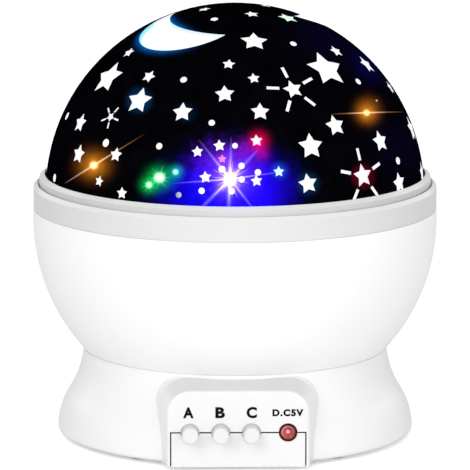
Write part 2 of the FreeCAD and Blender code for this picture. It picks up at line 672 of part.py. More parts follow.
# Turntable: flange, locating rim, guiding skirt with a snap lip, and the ring gear inside it
turntable = new_body("turntable")
rim_outer = ring_bore - 0.5
rim_inner = rim_outer - rim_wall
root_ring = pitch_ring + tooth_module * 1.15
skirt_bottom = plate_bottom - skirt_depth
lip_top = ledge_bottom - part_gap
revolve(turntable,
        [(root_ring, skirt_bottom), (skirt_radius, skirt_bottom), (skirt_radius + lip_reach, skirt_bottom + 1.0),
         (skirt_radius + lip_reach, lip_top), (skirt_radius, lip_top), (skirt_radius, plate_bottom),
         (ring_radius, plate_bottom), (ring_radius, plate_top), (rim_outer, plate_top),
         (rim_outer, plate_top + rim_height), (rim_inner, plate_top + rim_height), (rim_inner, plate_top),
         (root_ring, plate_top)], None, "table")


def ring_tooth():
    """One tooth of the ring gear as it points inward on the +X side, with straight 20 degree flanks."""
    pitch = float(pitch_ring)
    module = float(tooth_module)
    tip = pitch - module * 0.95
    foot = pitch + module * 1.15
    half = math.pi * module / 4.0 - float(backlash) / 2.0
    lean = math.tan(math.radians(20.0))
    tip_half = half - lean * (pitch - tip)
    foot_half = half + lean * (foot - pitch)
    return [Vector(tip, -tip_half, 0), Vector(foot + 0.3, -foot_half, 0),
            Vector(foot + 0.3, foot_half, 0), Vector(tip, tip_half, 0)]


teeth = []
corners = ring_tooth()
blank = Part.Face(Part.makePolygon(corners + corners[:1])).extrude(Vector(0, 0, float(skirt_depth)))
blank.translate(Vector(0, 0, float(skirt_bottom)))
ring_count = int(float(ring_teeth))
for k in range(ring_count):
    tooth = blank.copy()
    tooth.rotate(Vector(), UP, 360.0 * k / ring_count)
    teeth.append(tooth)
toothed = turntable.Shape.copy().fuse(teeth).removeSplitter()
doc.removeObject(turntable.Name)
group("turntable", [toothed.Solids[0]])

# Pinion: involute teeth that mesh with the ring gear, on the motor's shaft
pinion_bottom = deck_top + 1.7
pinion_top = pinion_bottom + pinion_height + 1.2


def involute_tooth_space(base, reach):
    """Angle by which the involute from the base circle has turned at this radius."""
    pressure = math.acos(base / reach)
    return math.tan(pressure) - pressure


def pinion_outline():
    """Closed outline of the pinion, four points to a flank."""
    count = int(float(pinion_teeth))
    module = float(tooth_module)
    pitch = float(pitch_pinion)
    base = pitch * math.cos(math.radians(20.0))
    tip = pitch + module * 0.95
    foot = pitch - module * 1.2
    at_pitch = math.pi / (2 * count) - float(backlash) / (2.0 * pitch)
    flank = []
    for step in range(5):
        reach = base + (tip - base) * step / 4.0
        flank.append((reach, at_pitch + involute_tooth_space(base, pitch) - involute_tooth_space(base, reach)))
    points = []
    for k in range(count):
        middle = 2.0 * math.pi * k / count
        wide = flank[0][1]
        side = [(foot, wide + 0.03)] + flank
        for reach, half in side:
            points.append(Vector(reach * math.cos(middle - half), reach * math.sin(middle - half), 0))
        for reach, half in reversed(side):
            points.append(Vector(reach * math.cos(middle + half), reach * math.sin(middle + half), 0))
    return points


def placed_at_motor(shape, distance, turn_by=0.0):
    """Move a shape from the axis to the motor's side of the deck."""
    copy = shape.copy()
    copy.rotate(Vector(), UP, turn_by)
    copy.translate(Vector(float(distance), 0, 0))
    copy.rotate(Vector(), UP, float(motor_angle))
    return copy


# The ring has a tooth on the +X axis; in the motor's own frame the nearest tooth stands off by this much
ring_step = 360.0 / ring_count
offset = float(motor_angle) % ring_step
ring_phase = -offset
pinion_step = 360.0 / int(float(pinion_teeth))
phase = ring_phase * ring_count / float(pinion_teeth) + pinion_step / 2.0
outline = pinion_outline()
gear = Part.Face(Part.makePolygon(outline + outline[:1])).extrude(Vector(0, 0, float(pinion_height)))
gear.translate(Vector(0, 0, float(pinion_bottom) + 1.2))
hub = cylinder(pitch_pinion - tooth_module * 1.9, pinion_bottom, pinion_bottom + 1.3)
gear = gear.fuse(hub).cut(cylinder(shaft_radius, float(pinion_bottom) - 1.0, float(pinion_top) + 1.0))
group("drive_pinion", [placed_at_motor(gear.removeSplitter(), gear_distance, phase)])

# Motor shaft, gear motor with its two ears, and its screws
can_top = deck_bottom - 1.0
shaft = cylinder(shaft_radius, float(can_top) - 5.0, float(pinion_top) - 0.1)
group("motor_shaft", [placed_at_motor(shaft, gear_distance)])
can_place = gear_distance - motor_offset
can = cylinder(motor_radius, can_top - motor_depth, can_top)
low_rim = [e for e in can.Edges if abs(e.CenterOfMass.z - float(can_top - motor_depth)) < 1e-6][:1]
can = can.makeFillet(1.0, low_rim)
reach = float(ear_reach)
ears = Part.makeBox(7.0, 2.0 * reach, 1.0, Vector(-3.5, -reach, float(can_top)))
for side in (-1.0, 1.0):
    ears = ears.fuse(cylinder(3.5, can_top, deck_bottom, 0, reach * side))
for side in (-1.0, 1.0):
    ears = ears.cut(cylinder(motor_shank + hole_gap, float(can_top) - 1.0, float(deck_bottom) + 1.0, 0, reach * side))
lead_box = Part.makeBox(5.0, 8.0, 7.0, Vector(-float(motor_radius) - 1.5, -4.0, float(can_top) - 10.0))
boss = cylinder(boss_radius, can_top, deck_top + 0.7, float(motor_offset), 0)
motor = can.fuse([ears, lead_box, boss])
motor = motor.cut(cylinder(shaft_radius + shaft_fit, float(can_top) - 5.3, float(deck_top) + 2.0, float(motor_offset), 0))
group("gear_motor", [placed_at_motor(motor.removeSplitter(), can_place)])
motor_screw = screw(2.1, 1.5, motor_shank, can_top, deck_top - 0.2)
group("motor_screws", [placed_at_motor(at(motor_screw, 0, reach * side), can_place) for side in (-1.0, 1.0)])

# Dome ring: holds the dome and stands on the turntable's flange
dome_ring = new_body("dome_ring")
revolve(dome_ring,
        [(ring_bore, ring_foot), (ring_radius, ring_foot), (ring_radius - ring_draft, ring_wall_top),
         (ring_inner + 0.25, ring_top), (ring_inner, ring_top), (ring_inner, dome_seat),
         (liner_radius - liner_thick - 0.6, dome_seat), (ring_bore, ring_foot + 1.0)], None, "ring")


def dome_shell(radius, thick):
    """Cap of a hollow sphere above the ring's seat."""
    outer, inner = float(radius), float(radius) - float(thick)
    middle, seat = float(dome_centre), float(dome_seat)
    rise = seat - middle
    out_r = math.sqrt(outer * outer - rise * rise)
    in_r = math.sqrt(inner * inner - rise * rise)
    half = math.radians(45.0)
    outer_arc = Part.Arc(Vector(out_r, 0, seat), Vector(outer * math.cos(half), 0, middle + outer * math.sin(half)),
                         Vector(0, 0, middle + outer)).toShape()
    inner_arc_edge = Part.Arc(Vector(0, 0, middle + inner),
                              Vector(inner * math.cos(half), 0, middle + inner * math.sin(half)),
                              Vector(in_r, 0, seat)).toShape()
    top = Part.makeLine(Vector(0, 0, middle + outer), Vector(0, 0, middle + inner))
    low = Part.makeLine(Vector(in_r, 0, seat), Vector(out_r, 0, seat))
    face = Part.Face(Part.Wire([outer_arc, top, inner_arc_edge, low]))
    return face.revolve(Vector(), UP, 360.0)


# Star windows of the mask. A place is (turn to the right of the front, height angle) in degrees; a star adds
# its outer radius and the direction of its first point. The same half pattern repeats on the far side.
star_waist = size("star_waist", 0.53, "inner over outer radius of a star")
ray_width = size("ray_width", 1.05, "width of the rays round a burst")
window_lean = size("window_lean", 0.25, "share by which the windows lean to the front of their half")
moon_outer = size("moon_outer", 17.2, "radius of the crescent moon's outer edge")
moon_inner = size("moon_inner", 21.2, "radius of the crescent moon's inner edge")
doc.recompute()

STARS = [(-63.5, 42, 6.3, 90), (-65, 52, 2.2, 92), (-40, 45, 2.4, 70), (-39, 36.5, 4.7, 88), (-64.5, 26, 3.3, 88),
         (-59, 17, 3.2, 86), (-41.5, 19, 2.4, 88), (-46.5, 10.5, 1.8, 80), (-37, 8, 2.0, 92), (-20, 34, 3.4, 94),
         (-5, 40.5, 3.2, 94), (-4, 51.5, 2.1, 84), (-69, 80, 2.1, 90), (-13, 22, 1.9, 96), (-6, 24, 2.0, 96),
         (-5, 20, 1.4, 90), (-10, 14.5, 2.0, 96), (24, 78, 2.4, 96), (62, 72, 3.4, 96), (11, 61.5, 4.5, 86),
         (60, 53, 2.5, 94), (43.5, 47.5, 7.0, 92), (7, 46, 2.0, 96), (8, 34.5, 3.1, 88), (76, 45, 3.6, 94),
         (83, 35, 2.5, 94), (35, 28.5, 3.6, 96), (24, 23, 4.3, 90), (53, 21.5, 3.6, 94), (82, 21, 4.4, 90),
         (81, 7.5, 3.6, 90), (58.5, 8, 3.5, 96), (21.5, 12, 3.3, 97), (12.5, 16, 1.8, 90), (5.5, 13.5, 1.9, 94),
         (6, 25.5, 2.0, 92)]
DOTS = [(-79, 26, 1.3), (-47, 22, 1.3), (-73, 7.5, 1.3), (-26, 23, 1.05), (-23, 45, 1.1), (-9, 31, 1.0),
        (-24, 74, 1.2), (-1, 24, 0.9), (-5, 17, 1.1), (1, 18, 1.0), (1, 14, 1.0), (-11, 10.5, 1.0),
        (-18, 9, 0.9), (-2, 10.5, 1.0), (35, 59, 1.1), (57, 41, 1.1), (60, 14.5, 1.2), (6, 16, 1.0)]
BURSTS = [(-49, 30, 1.7, 57, 1.9, 3.9, 0.55), (22.5, 41.5, 3.4, 30, 4.5, 8.6, 1.0), (41.5, 12.5, 3.9, 94, 4.9, 8.8, 1.0)]
MOON_OUTER = (-49, 71.5)
MOON_INNER = (3, 85)


def star_prism(points, outer, inner, first=90.0):
    """Star-shaped prism round the vertical axis."""
    ring = []
    for k in range(2 * points):
        reach = outer if k % 2 == 0 else inner
        angle = math.radians(first + 180.0 * k / points)
        ring.append(Vector(reach * math.cos(angle), reach * math.sin(angle), 0))
    return Part.Face(Part.makePolygon(ring + ring[:1])).extrude(Vector(0, 0, 9.0))


def outward(azimuth, height):
    """Unit vector from the dome's centre to a place on it."""
    turn_by, rise = math.radians(azimuth), math.radians(height)
    return Vector(math.cos(rise) * math.sin(turn_by), -math.cos(rise) * math.cos(turn_by), math.sin(rise))


def through_dome(shape, azimuth, height, lean):
    """Stand a prism through the dome's wall at a place, leaning a share of the way to the front."""
    normal = outward(azimuth, height)
    front = outward(0.0, 10.0)
    angle = math.degrees(normal.getAngle(front))
    way = Rotation(normal.cross(front), angle * lean).multVec(normal)
    level = (UP - way * way.z).normalize()
    across = level.cross(way)
    copy = shape.copy()
    copy.translate(Vector(0, 0, -5.5))
    copy.Placement = Placement(normal * float(dome_radius) + Vector(0, 0, float(dome_centre)),
                               Rotation(across, level, way, "ZXY")).multiply(copy.Placement)
    return copy


lean = float(window_lean)
windows = []
for azimuth, height, radius, first in STARS:
    prism = star_prism(5, radius, radius * float(star_waist), first)
    windows.append(through_dome(prism, azimuth, height, lean))
for azimuth, height, radius in DOTS:
    windows.append(through_dome(Part.makeCylinder(radius, 9.0), azimuth, height, lean))
for azimuth, height, radius, first, near, far, narrow in BURSTS:
    windows.append(through_dome(star_prism(5, radius, radius * 0.5, first), azimuth, height, lean))
    wide = float(ray_width) * narrow
    for k in range(5):
        ray = Part.makeBox(far - near, wide, 9.0, Vector(near, -wide / 2.0, 0))
        ray.rotate(Vector(), UP, first + 72.0 * k)
        windows.append(through_dome(ray, azimuth, height, lean))
moon_disc, moon_bite = [
    through_dome(Part.makeCylinder(float(radius), float(radius), Vector(0, 0, 5.5 - 0.75 * float(radius))), *place, 0.0)
    for radius, place in ((moon_outer, MOON_OUTER), (moon_inner, MOON_INNER))]
windows.append(moon_disc.cut(moon_bite))
for window in list(windows):
    far_side = window.copy()
    far_side.rotate(Vector(), UP, 180.0)
    windows.append(far_side)
mask = dome_shell(dome_radius, mask_thick).cut(windows)
group("star_mask", [max(mask.Solids, key=lambda s: s.Volume)])
group("dome_liner", [dome_shell(liner_radius, liner_thick)])

# Bottom cover with its upright tab, the battery bay and the ribs that hold the control board
bottom_cover = new_body("bottom_cover")
plate = new_sketch(bottom_cover, "XY_Plane", shell_bottom, "plate_outline")
draw_circle(plate, 0, 0, cover_radius)
pad(bottom_cover, plate, cover_thick, "plate")
tongue = new_sketch(bottom_cover, "XY_Plane", shell_bottom, "tongue_outline")
tongue_front = panel_front - wall
side_slope = side_draft / panel_depth
tongue_near = panel_half + side_slope * wall - wall - part_gap
tongue_far = tongue_near + side_slope * (panel_depth - wall)
tongue_back = panel_front - panel_depth
draw(tongue, [(-tongue_near, -tongue_front), (tongue_near, -tongue_front),
              (tongue_far, -tongue_back), (-tongue_far, -tongue_back)])
pad(bottom_cover, tongue, cover_thick, "tongue")
tab = new_sketch(bottom_cover, "XZ_Plane", panel_front, "tab_outline")
draw(tab, rectangle(-tab_half, tab_half, shell_bottom, hole_height - seam / 2.0))
pad(bottom_cover, tab, wall, "tab", True)
for place, radius, name in [(button_places[0], button_radius, "a"), (button_places[1], button_radius, "b"),
                            (button_places[2], button_radius, "c"),
                            (socket_place, socket_radius - 0.15, "socket")]:
    opening = new_sketch(bottom_cover, "XZ_Plane", panel_front + 1.0, "half_hole_%s_outline" % name)
    draw_circle(opening, place, hole_height, radius + button_gap)
    pocket(bottom_cover, opening, wall + 1.2, "half_hole_" + name)
bay_far = bay_near + bay_width
block = new_sketch(bottom_cover, "XY_Plane", cover_top - 0.5, "bay_outline")
outer_x = bay_half + bay_ledge + bay_wall * 0.5
draw(block, rectangle(-outer_x, outer_x, bay_near - bay_ledge - bay_wall * 0.5,
                      bay_far + bay_ledge + bay_wall * 0.5))
pad(bottom_cover, block, bay_height + bay_wall + 0.5, "bay_block")
cells = new_sketch(bottom_cover, "XY_Plane", shell_bottom - 1.0, "cells_outline")
draw(cells, rectangle(-bay_half, bay_half, bay_near, bay_far))
pocket(bottom_cover, cells, cover_thick + 1.0 + bay_height, "cells", True)
recess = new_sketch(bottom_cover, "XY_Plane", shell_bottom - 1.0, "recess_outline")
recess_x = bay_half + bay_ledge
draw(recess, rectangle(-recess_x, recess_x, bay_near - bay_ledge, bay_far + bay_ledge))
pocket(bottom_cover, recess, cover_thick + 1.0, "door_recess", True)
ribs = new_sketch(bottom_cover, "XY_Plane", cover_top - 0.2, "rib_outline")
for side in (-1.0, 1.0):
    x = pcb_half * (side * 0.72)
    draw(ribs, rectangle(x - 1.5, x + 1.5, -(board_back + pcb_thick + 1.6), -(board_back + pcb_thick)))
    draw(ribs, rectangle(x - 1.5, x + 1.5, -board_back, -(board_back - 1.6)))
pad(bottom_cover, ribs, 4.0, "board_ribs")
pads = new_sketch(bottom_cover, "XY_Plane", shell_bottom - 1.0, "pad_outline")
heads = new_sketch(bottom_cover, "XY_Plane", shell_bottom - 1.0, "head_outline")
shanks = new_sketch(bottom_cover, "XY_Plane", shell_bottom - 1.0, "shank_outline")
for side, depth in ((1.0, 1.0), (-1.0, 1.0), (-1.0, -1.0), (1.0, -1.0)):
    draw_circle(pads, pad_x * side, pad_y * depth, pad_radius + 0.2)
    draw_circle(heads, screw_x * side, screw_y * depth, case_shank + 1.5)
    draw_circle(shanks, screw_x * side, screw_y * depth, case_shank + hole_gap)
pocket(bottom_cover, pads, pad_recess + 1.0, "pad_recesses", True)
pocket(bottom_cover, heads, 1.0 + cover_thick * 0.6, "head_recesses", True)
pocket(bottom_cover, shanks, cover_thick + 1.5, "screw_holes", True)
door_pilots = new_sketch(bottom_cover, "XY_Plane", shell_bottom - 1.0, "door_pilot_outline")
head_room = new_sketch(bottom_cover, "XY_Plane", shell_bottom - 1.0, "door_head_outline")
bay_middle = (bay_near + bay_far) / 2.0
door_screw_x = bay_half + bay_ledge * 0.5 + 0.2
for side in (-1.0, 1.0):
    draw_circle(door_pilots, door_screw_x * side, bay_middle, door_shank + pilot_gap)
    draw_circle(head_room, door_screw_x * side, bay_middle, door_shank + 0.9 + part_gap)
pocket(bottom_cover, door_pilots, cover_thick + 8.0, "door_pilots", True)
pocket(bottom_cover, head_room, 1.5, "door_head_room", True)

# Rubber feet and case screws
foot_pad = cylinder(pad_radius, 0.0, feet_height + pad_recess)
rim_edge = [e for e in foot_pad.Edges if abs(e.CenterOfMass.z) < 1e-6][:1]
foot_pad = foot_pad.makeChamfer(0.4, rim_edge)
corners_of = ((1.0, 1.0), (-1.0, 1.0), (-1.0, -1.0), (1.0, -1.0))
group("rubber_feet", [at(foot_pad, float(pad_x) * a, float(pad_y) * b) for a, b in corners_of])
head_seat = shell_bottom + cover_thick * 0.6
case_screw = screw(case_shank + 1.2, 1.1, case_shank, head_seat, cover_top + 8.5)
group("case_screws", [at(case_screw, float(screw_x) * a, float(screw_y) * b) for a, b in corners_of])
waist_bolt = screw(waist_shank + 1.2, 1.6, waist_shank, waist_height - seam - floor_thick, waist_height + 7.0)
group("waist_screws", [at(waist_bolt, x, y) for x, y in round_points(waist_screw, (0, 90, 180, 270))])
deck_bolt = screw(deck_shank + 0.9, 1.2, deck_shank, deck_bottom, deck_top + 3.8)
group("deck_screws", [at(deck_bolt, x, y) for x, y in round_points(deck_screw, (0, 90, 180, 270))])
post_bolt_screw = screw(deck_shank + 0.9, 1.2, deck_shank, 0.0, floor_thick + deck_thick - 0.1)
post_bolt_screw.rotate(Vector(), Vector(1, 0, 0), 180.0)
group("post_screws", [at(post_bolt_screw, x, y, deck_top + floor_thick)
                      for x, y in round_points(post_screw, (0, 120, 240))])

# Battery door with its two captive screws
door_top = cover_top - part_gap
battery_door = new_body("battery_door")
door = new_sketch(battery_door, "XY_Plane", door_top - door_thick, "door_outline")
door_x = recess_x - part_gap
draw(door, rectangle(-door_x, door_x, bay_near - bay_ledge + part_gap, bay_far + bay_ledge - part_gap))
pad(battery_door, door, door_thick, "door")
finger = new_sketch(battery_door, "XY_Plane", door_top - door_thick, "grip_outline")
for k in range(3):
    draw(finger, rectangle(-6.0, 6.0, bay_near + 1.0 + k * 2.0, bay_near + 1.8 + k * 2.0))
pocket(battery_door, finger, 0.5, "grip", True)
door_holes = new_sketch(battery_door, "XY_Plane", door_top - door_thick - 1.0, "door_hole_outline")
for side in (-1.0, 1.0):
    draw_circle(door_holes, door_screw_x * side, bay_middle, door_shank + 0.02)
pocket(battery_door, door_holes, door_thick + 2.0, "door_holes", True)

# Battery contacts: one plate on either end of each cell, flat against the bay's end walls
contacts = []
for k in range(4):
    y = float(bay_near) + float(bay_width) * (k + 0.5) / 4.0
    for side in (-1.0, 1.0):
        wide = float(contact_half)
        thick = float(contact_thick)
        x = side * float(bay_half)
        low = float(cover_top) + 1.0
        leaf = Part.makeBox(thick, 2.0 * wide, 8.0, Vector(x - thick if side > 0 else x, y - wide, low))
        if (k % 2 == 0) == (side > 0):
            bump = Part.makeCone(2.4, 1.4, 1.0, Vector(x - side * thick, y, low + 4.4), Vector(-side, 0, 0))
        else:
            bump = Part.makeCone(3.2, 1.6, 2.2, Vector(x - side * thick, y, low + 4.4), Vector(-side, 0, 0))
        contacts.append(leaf.fuse(bump))
group("battery_contacts", contacts)

# Control board with three push switches and the power socket
board_front = board_back + pcb_thick
control_board = new_body("control_board")
board = new_sketch(control_board, "XZ_Plane", board_back, "pcb_outline")
draw(board, rectangle(-pcb_half, pcb_half, cover_top, cover_top + pcb_height))
pad(control_board, board, pcb_thick, "pcb")
switches = []
switch_front = board_front + switch_depth
for place in button_places:
    x, half = float(place), float(switch_half)
    body_box = Part.makeBox(2 * half, float(switch_depth), 2 * half,
                            Vector(x - half, -float(switch_front), float(hole_height) - half))
    body_box = body_box.makeChamfer(0.4, [e for e in body_box.Edges
                                          if abs(e.BoundBox.YMax + float(switch_front)) < 1e-6])
    hole = rod(stem_radius + stem_fit, float(switch_front) - 3.2, float(switch_front) + 1.0, x, hole_height)
    switches.append(body_box.cut(hole))
group("push_switches", switches)

# Buttons A, B and C: a cap with an inner flange, and the switch plunger it pushes
cap_flange_front = panel_front - wall - 0.4
cap_flange_back = cap_flange_front - flange_thick
for place, name in zip(button_places, ("a", "b", "c")):
    button = new_body("button_" + name)
    face = new_sketch(button, "XZ_Plane", cap_flange_back, "flange_outline")
    draw_circle(face, place, hole_height, button_radius + flange_width)
    pad(button, face, flange_thick, "flange")
    front = new_sketch(button, "XZ_Plane", cap_flange_back, "cap_outline")
    draw_circle(front, place, hole_height, button_radius)
    cap = pad(button, front, panel_front + button_out - cap_flange_back, "cap")
    tip = [n for n, e in enumerate(cap.Shape.Edges, 1)
           if abs(e.CenterOfMass.y + float(panel_front + button_out)) < 1e-6]
    crown = button.newObject("PartDesign::Fillet", "crown")
    crown.Base = (cap, ["Edge%d" % tip[0]])
    crown.Radius = 0.6
    doc.recompute()
    stem = new_sketch(button, "XZ_Plane", cap_flange_back, "stem_outline")
    draw_circle(stem, place, hole_height, stem_radius)
    pad(button, stem, cap_flange_back - switch_front - 0.9, "stem", True)
    plunger = rod(stem_radius, switch_front - 0.8, switch_front + 0.9, place, hole_height)
    group("switch_plunger_" + name, [plunger])

# Power socket: black sleeve and housing, red insulator inside, and the centre pin
sleeve_front = panel_front + 0.3
socket_box = Part.makeBox(9.0, float(panel_front - wall - 0.4 - board_front), 10.0,
                          Vector(float(socket_place) - 4.5, -float(panel_front - wall - 0.4),
                                 float(hole_height) - 5.0))
socket = socket_box.fuse(rod(socket_radius, panel_front - wall - 0.6, sleeve_front, socket_place, hole_height))
socket = socket.cut(rod(socket_bore, board_front + 1.2, sleeve_front + 1.0, socket_place, hole_height))
group("dc_socket", [socket.removeSplitter()])
insulator = rod(socket_bore, board_front + 1.2, sleeve_front - 0.45, socket_place, hole_height)
insulator = insulator.cut(rod(jack_bore, board_front + 2.2, sleeve_front + 1.0, socket_place, hole_height))
insulator = insulator.cut(rod(pin_radius, board_front, sleeve_front, socket_place, hole_height))
group("socket_insulator", [insulator])
group("socket_pin", [rod(pin_radius, board_front + 1.2, sleeve_front - 1.4, socket_place, hole_height)])


def lead(points, radius, bend):
    """Lead along straight runs joined by round bends."""
    path = []
    start = points[0]
    for k in range(1, len(points) - 1):
        corner = points[k]
        back = (points[k - 1] - corner).normalize()
        ahead = (points[k + 1] - corner).normalize()
        turn_half = (math.pi - back.getAngle(ahead)) / 2.0
        cut_back = bend * math.tan(turn_half)
        first = corner + back * cut_back
        last = corner + ahead * cut_back
        inward = (back + ahead).normalize()
        middle = corner + inward * (bend / math.cos(turn_half) - bend)
        path.append(Part.LineSegment(start, first).toShape())
        path.append(Part.Arc(first, middle, last).toShape())
        start = last
    path.append(Part.LineSegment(start, points[-1]).toShape())
    wire = Part.Wire(path)
    ring = Part.Wire([Part.Circle(points[0], (points[1] - points[0]).normalize(), float(radius)).toShape()])
    return wire.makePipeShell([ring], True, False, 2)


board_rear = -float(board_back)
lead_height = float(cover_top) + 15.5
through_waist = float(flange_bore) - 8.0
lamp_route = [Vector(-8, board_rear, lead_height), Vector(-8, -through_waist, lead_height),
              Vector(-8, -through_waist, 50.0), Vector(0, 0, 60.0), Vector(0, 0, float(post_top))]
group("lamp_lead", [lead(lamp_route, lead_radius, 6.0)])
box_place = round_points(float(can_place) - float(motor_radius) - 1.5, [float(motor_angle)])[0]
motor_side = float(can_place) - float(motor_radius) - 1.5
side_x, side_y = round_points(motor_side - 9.0, [float(motor_angle)])[0]
motor_route = [Vector(8, board_rear, lead_height), Vector(8, -through_waist, lead_height),
               Vector(8, -through_waist, 42.0), Vector(side_x, side_y, float(can_top) - 6.5),
               Vector(box_place[0], box_place[1], float(can_top) - 6.5)]
group("motor_lead", [lead(motor_route, lead_radius, 5.0)])

door_screw = screw(door_shank + 0.9, 0.9, door_shank, door_top - door_thick, cover_top + 5.5)
group("door_screws", [at(door_screw, door_screw_x * side, bay_middle) for side in (-1.0, 1.0)])

doc.recompute()
for obj in doc.Objects:
    if "Invalid" in obj.State or "Error" in obj.State:
        raise ValueError("%s failed: %s" % (obj.Name, obj.State))

os.makedirs("parts", exist_ok=True)
total = 0.0
for obj in doc.Objects:
    if obj.TypeId not in ("PartDesign::Body", "Part::Feature"):
        continue
    shape = obj.Shape
    if shape.isNull() or not shape.isValid() or not shape.Solids:
        raise ValueError("%s has no valid solid" % obj.Label)
    shape.exportStep("parts/%s.step" % obj.Label)
    total += shape.Volume
    print("%-18s %2d solid(s) %10.1f mm3" % (obj.Label, len(shape.Solids), shape.Volume))
print("total %.1f mm3" % total)
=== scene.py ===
"""Looks of a table-top star night light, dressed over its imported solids.

A lift-off black dome with star and crescent windows glows over a light grey band, a round white
bowl and a flared foot with a small control panel. Lengths are in metres, +Z is up, the panel
faces -Y. Light on the dome is placed in millimetres, as seen from the dome's front.
"""

import logging
import math
from dataclasses import dataclass
from enum import Enum
from typing import Dict, List, Optional, Sequence, Tuple, Union

import bpy
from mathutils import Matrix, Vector


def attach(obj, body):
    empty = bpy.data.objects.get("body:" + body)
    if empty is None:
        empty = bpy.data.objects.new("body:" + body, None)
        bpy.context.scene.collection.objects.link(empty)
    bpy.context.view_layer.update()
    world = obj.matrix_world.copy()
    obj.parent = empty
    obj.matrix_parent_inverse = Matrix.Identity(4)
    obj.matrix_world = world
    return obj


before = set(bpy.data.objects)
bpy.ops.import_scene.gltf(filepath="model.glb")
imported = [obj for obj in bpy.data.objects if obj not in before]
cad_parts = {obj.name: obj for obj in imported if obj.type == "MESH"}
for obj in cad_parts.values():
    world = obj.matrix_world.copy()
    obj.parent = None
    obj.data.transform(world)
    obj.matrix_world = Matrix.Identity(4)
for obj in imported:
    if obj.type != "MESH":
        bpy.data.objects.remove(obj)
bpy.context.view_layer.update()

LOG = logging.getLogger("star_light")
Colour = Tuple[float, float, float]
Feed = Union[bpy.types.NodeSocket, float, Sequence[float]]
Inputs = Dict[Union[str, int], Feed]

DOME_CENTRE = Vector((0.0, 0.0, 0.0786))
DOME_RADIUS = 0.0611
PANEL_FACE = -0.0590
VIEW_RISE = 10.7
FRONT_RIGHT = Vector((1.0, 0.0, 0.0))
FRONT_UP = Vector((0.0, math.sin(math.radians(VIEW_RISE)), math.cos(math.radians(VIEW_RISE))))
QUARTER_TURN = math.radians(90.0)
WHITE: Colour = (1.0, 1.0, 1.0)
DARK: Colour = (0.0, 0.0, 0.0)


def rgba(colour: Colour) -> Tuple[float, float, float, float]:
    """Give a colour its full cover."""
    return (colour[0], colour[1], colour[2], 1.0)


def dimmed(colour: Colour, share: float) -> Colour:
    """Give the share of a colour."""
    return (colour[0] * share, colour[1] * share, colour[2] * share)


def heading(turn: float, rise: float) -> Vector:
    """Work out a direction.

    Args:
        turn: Degrees to the right of the front.
        rise: Degrees above level.

    Returns:
        The direction, one unit long.
    """
    turned, raised = math.radians(turn), math.radians(rise)
    level = math.cos(raised)
    return Vector((level * math.sin(turned), -level * math.cos(turned), math.sin(raised)))


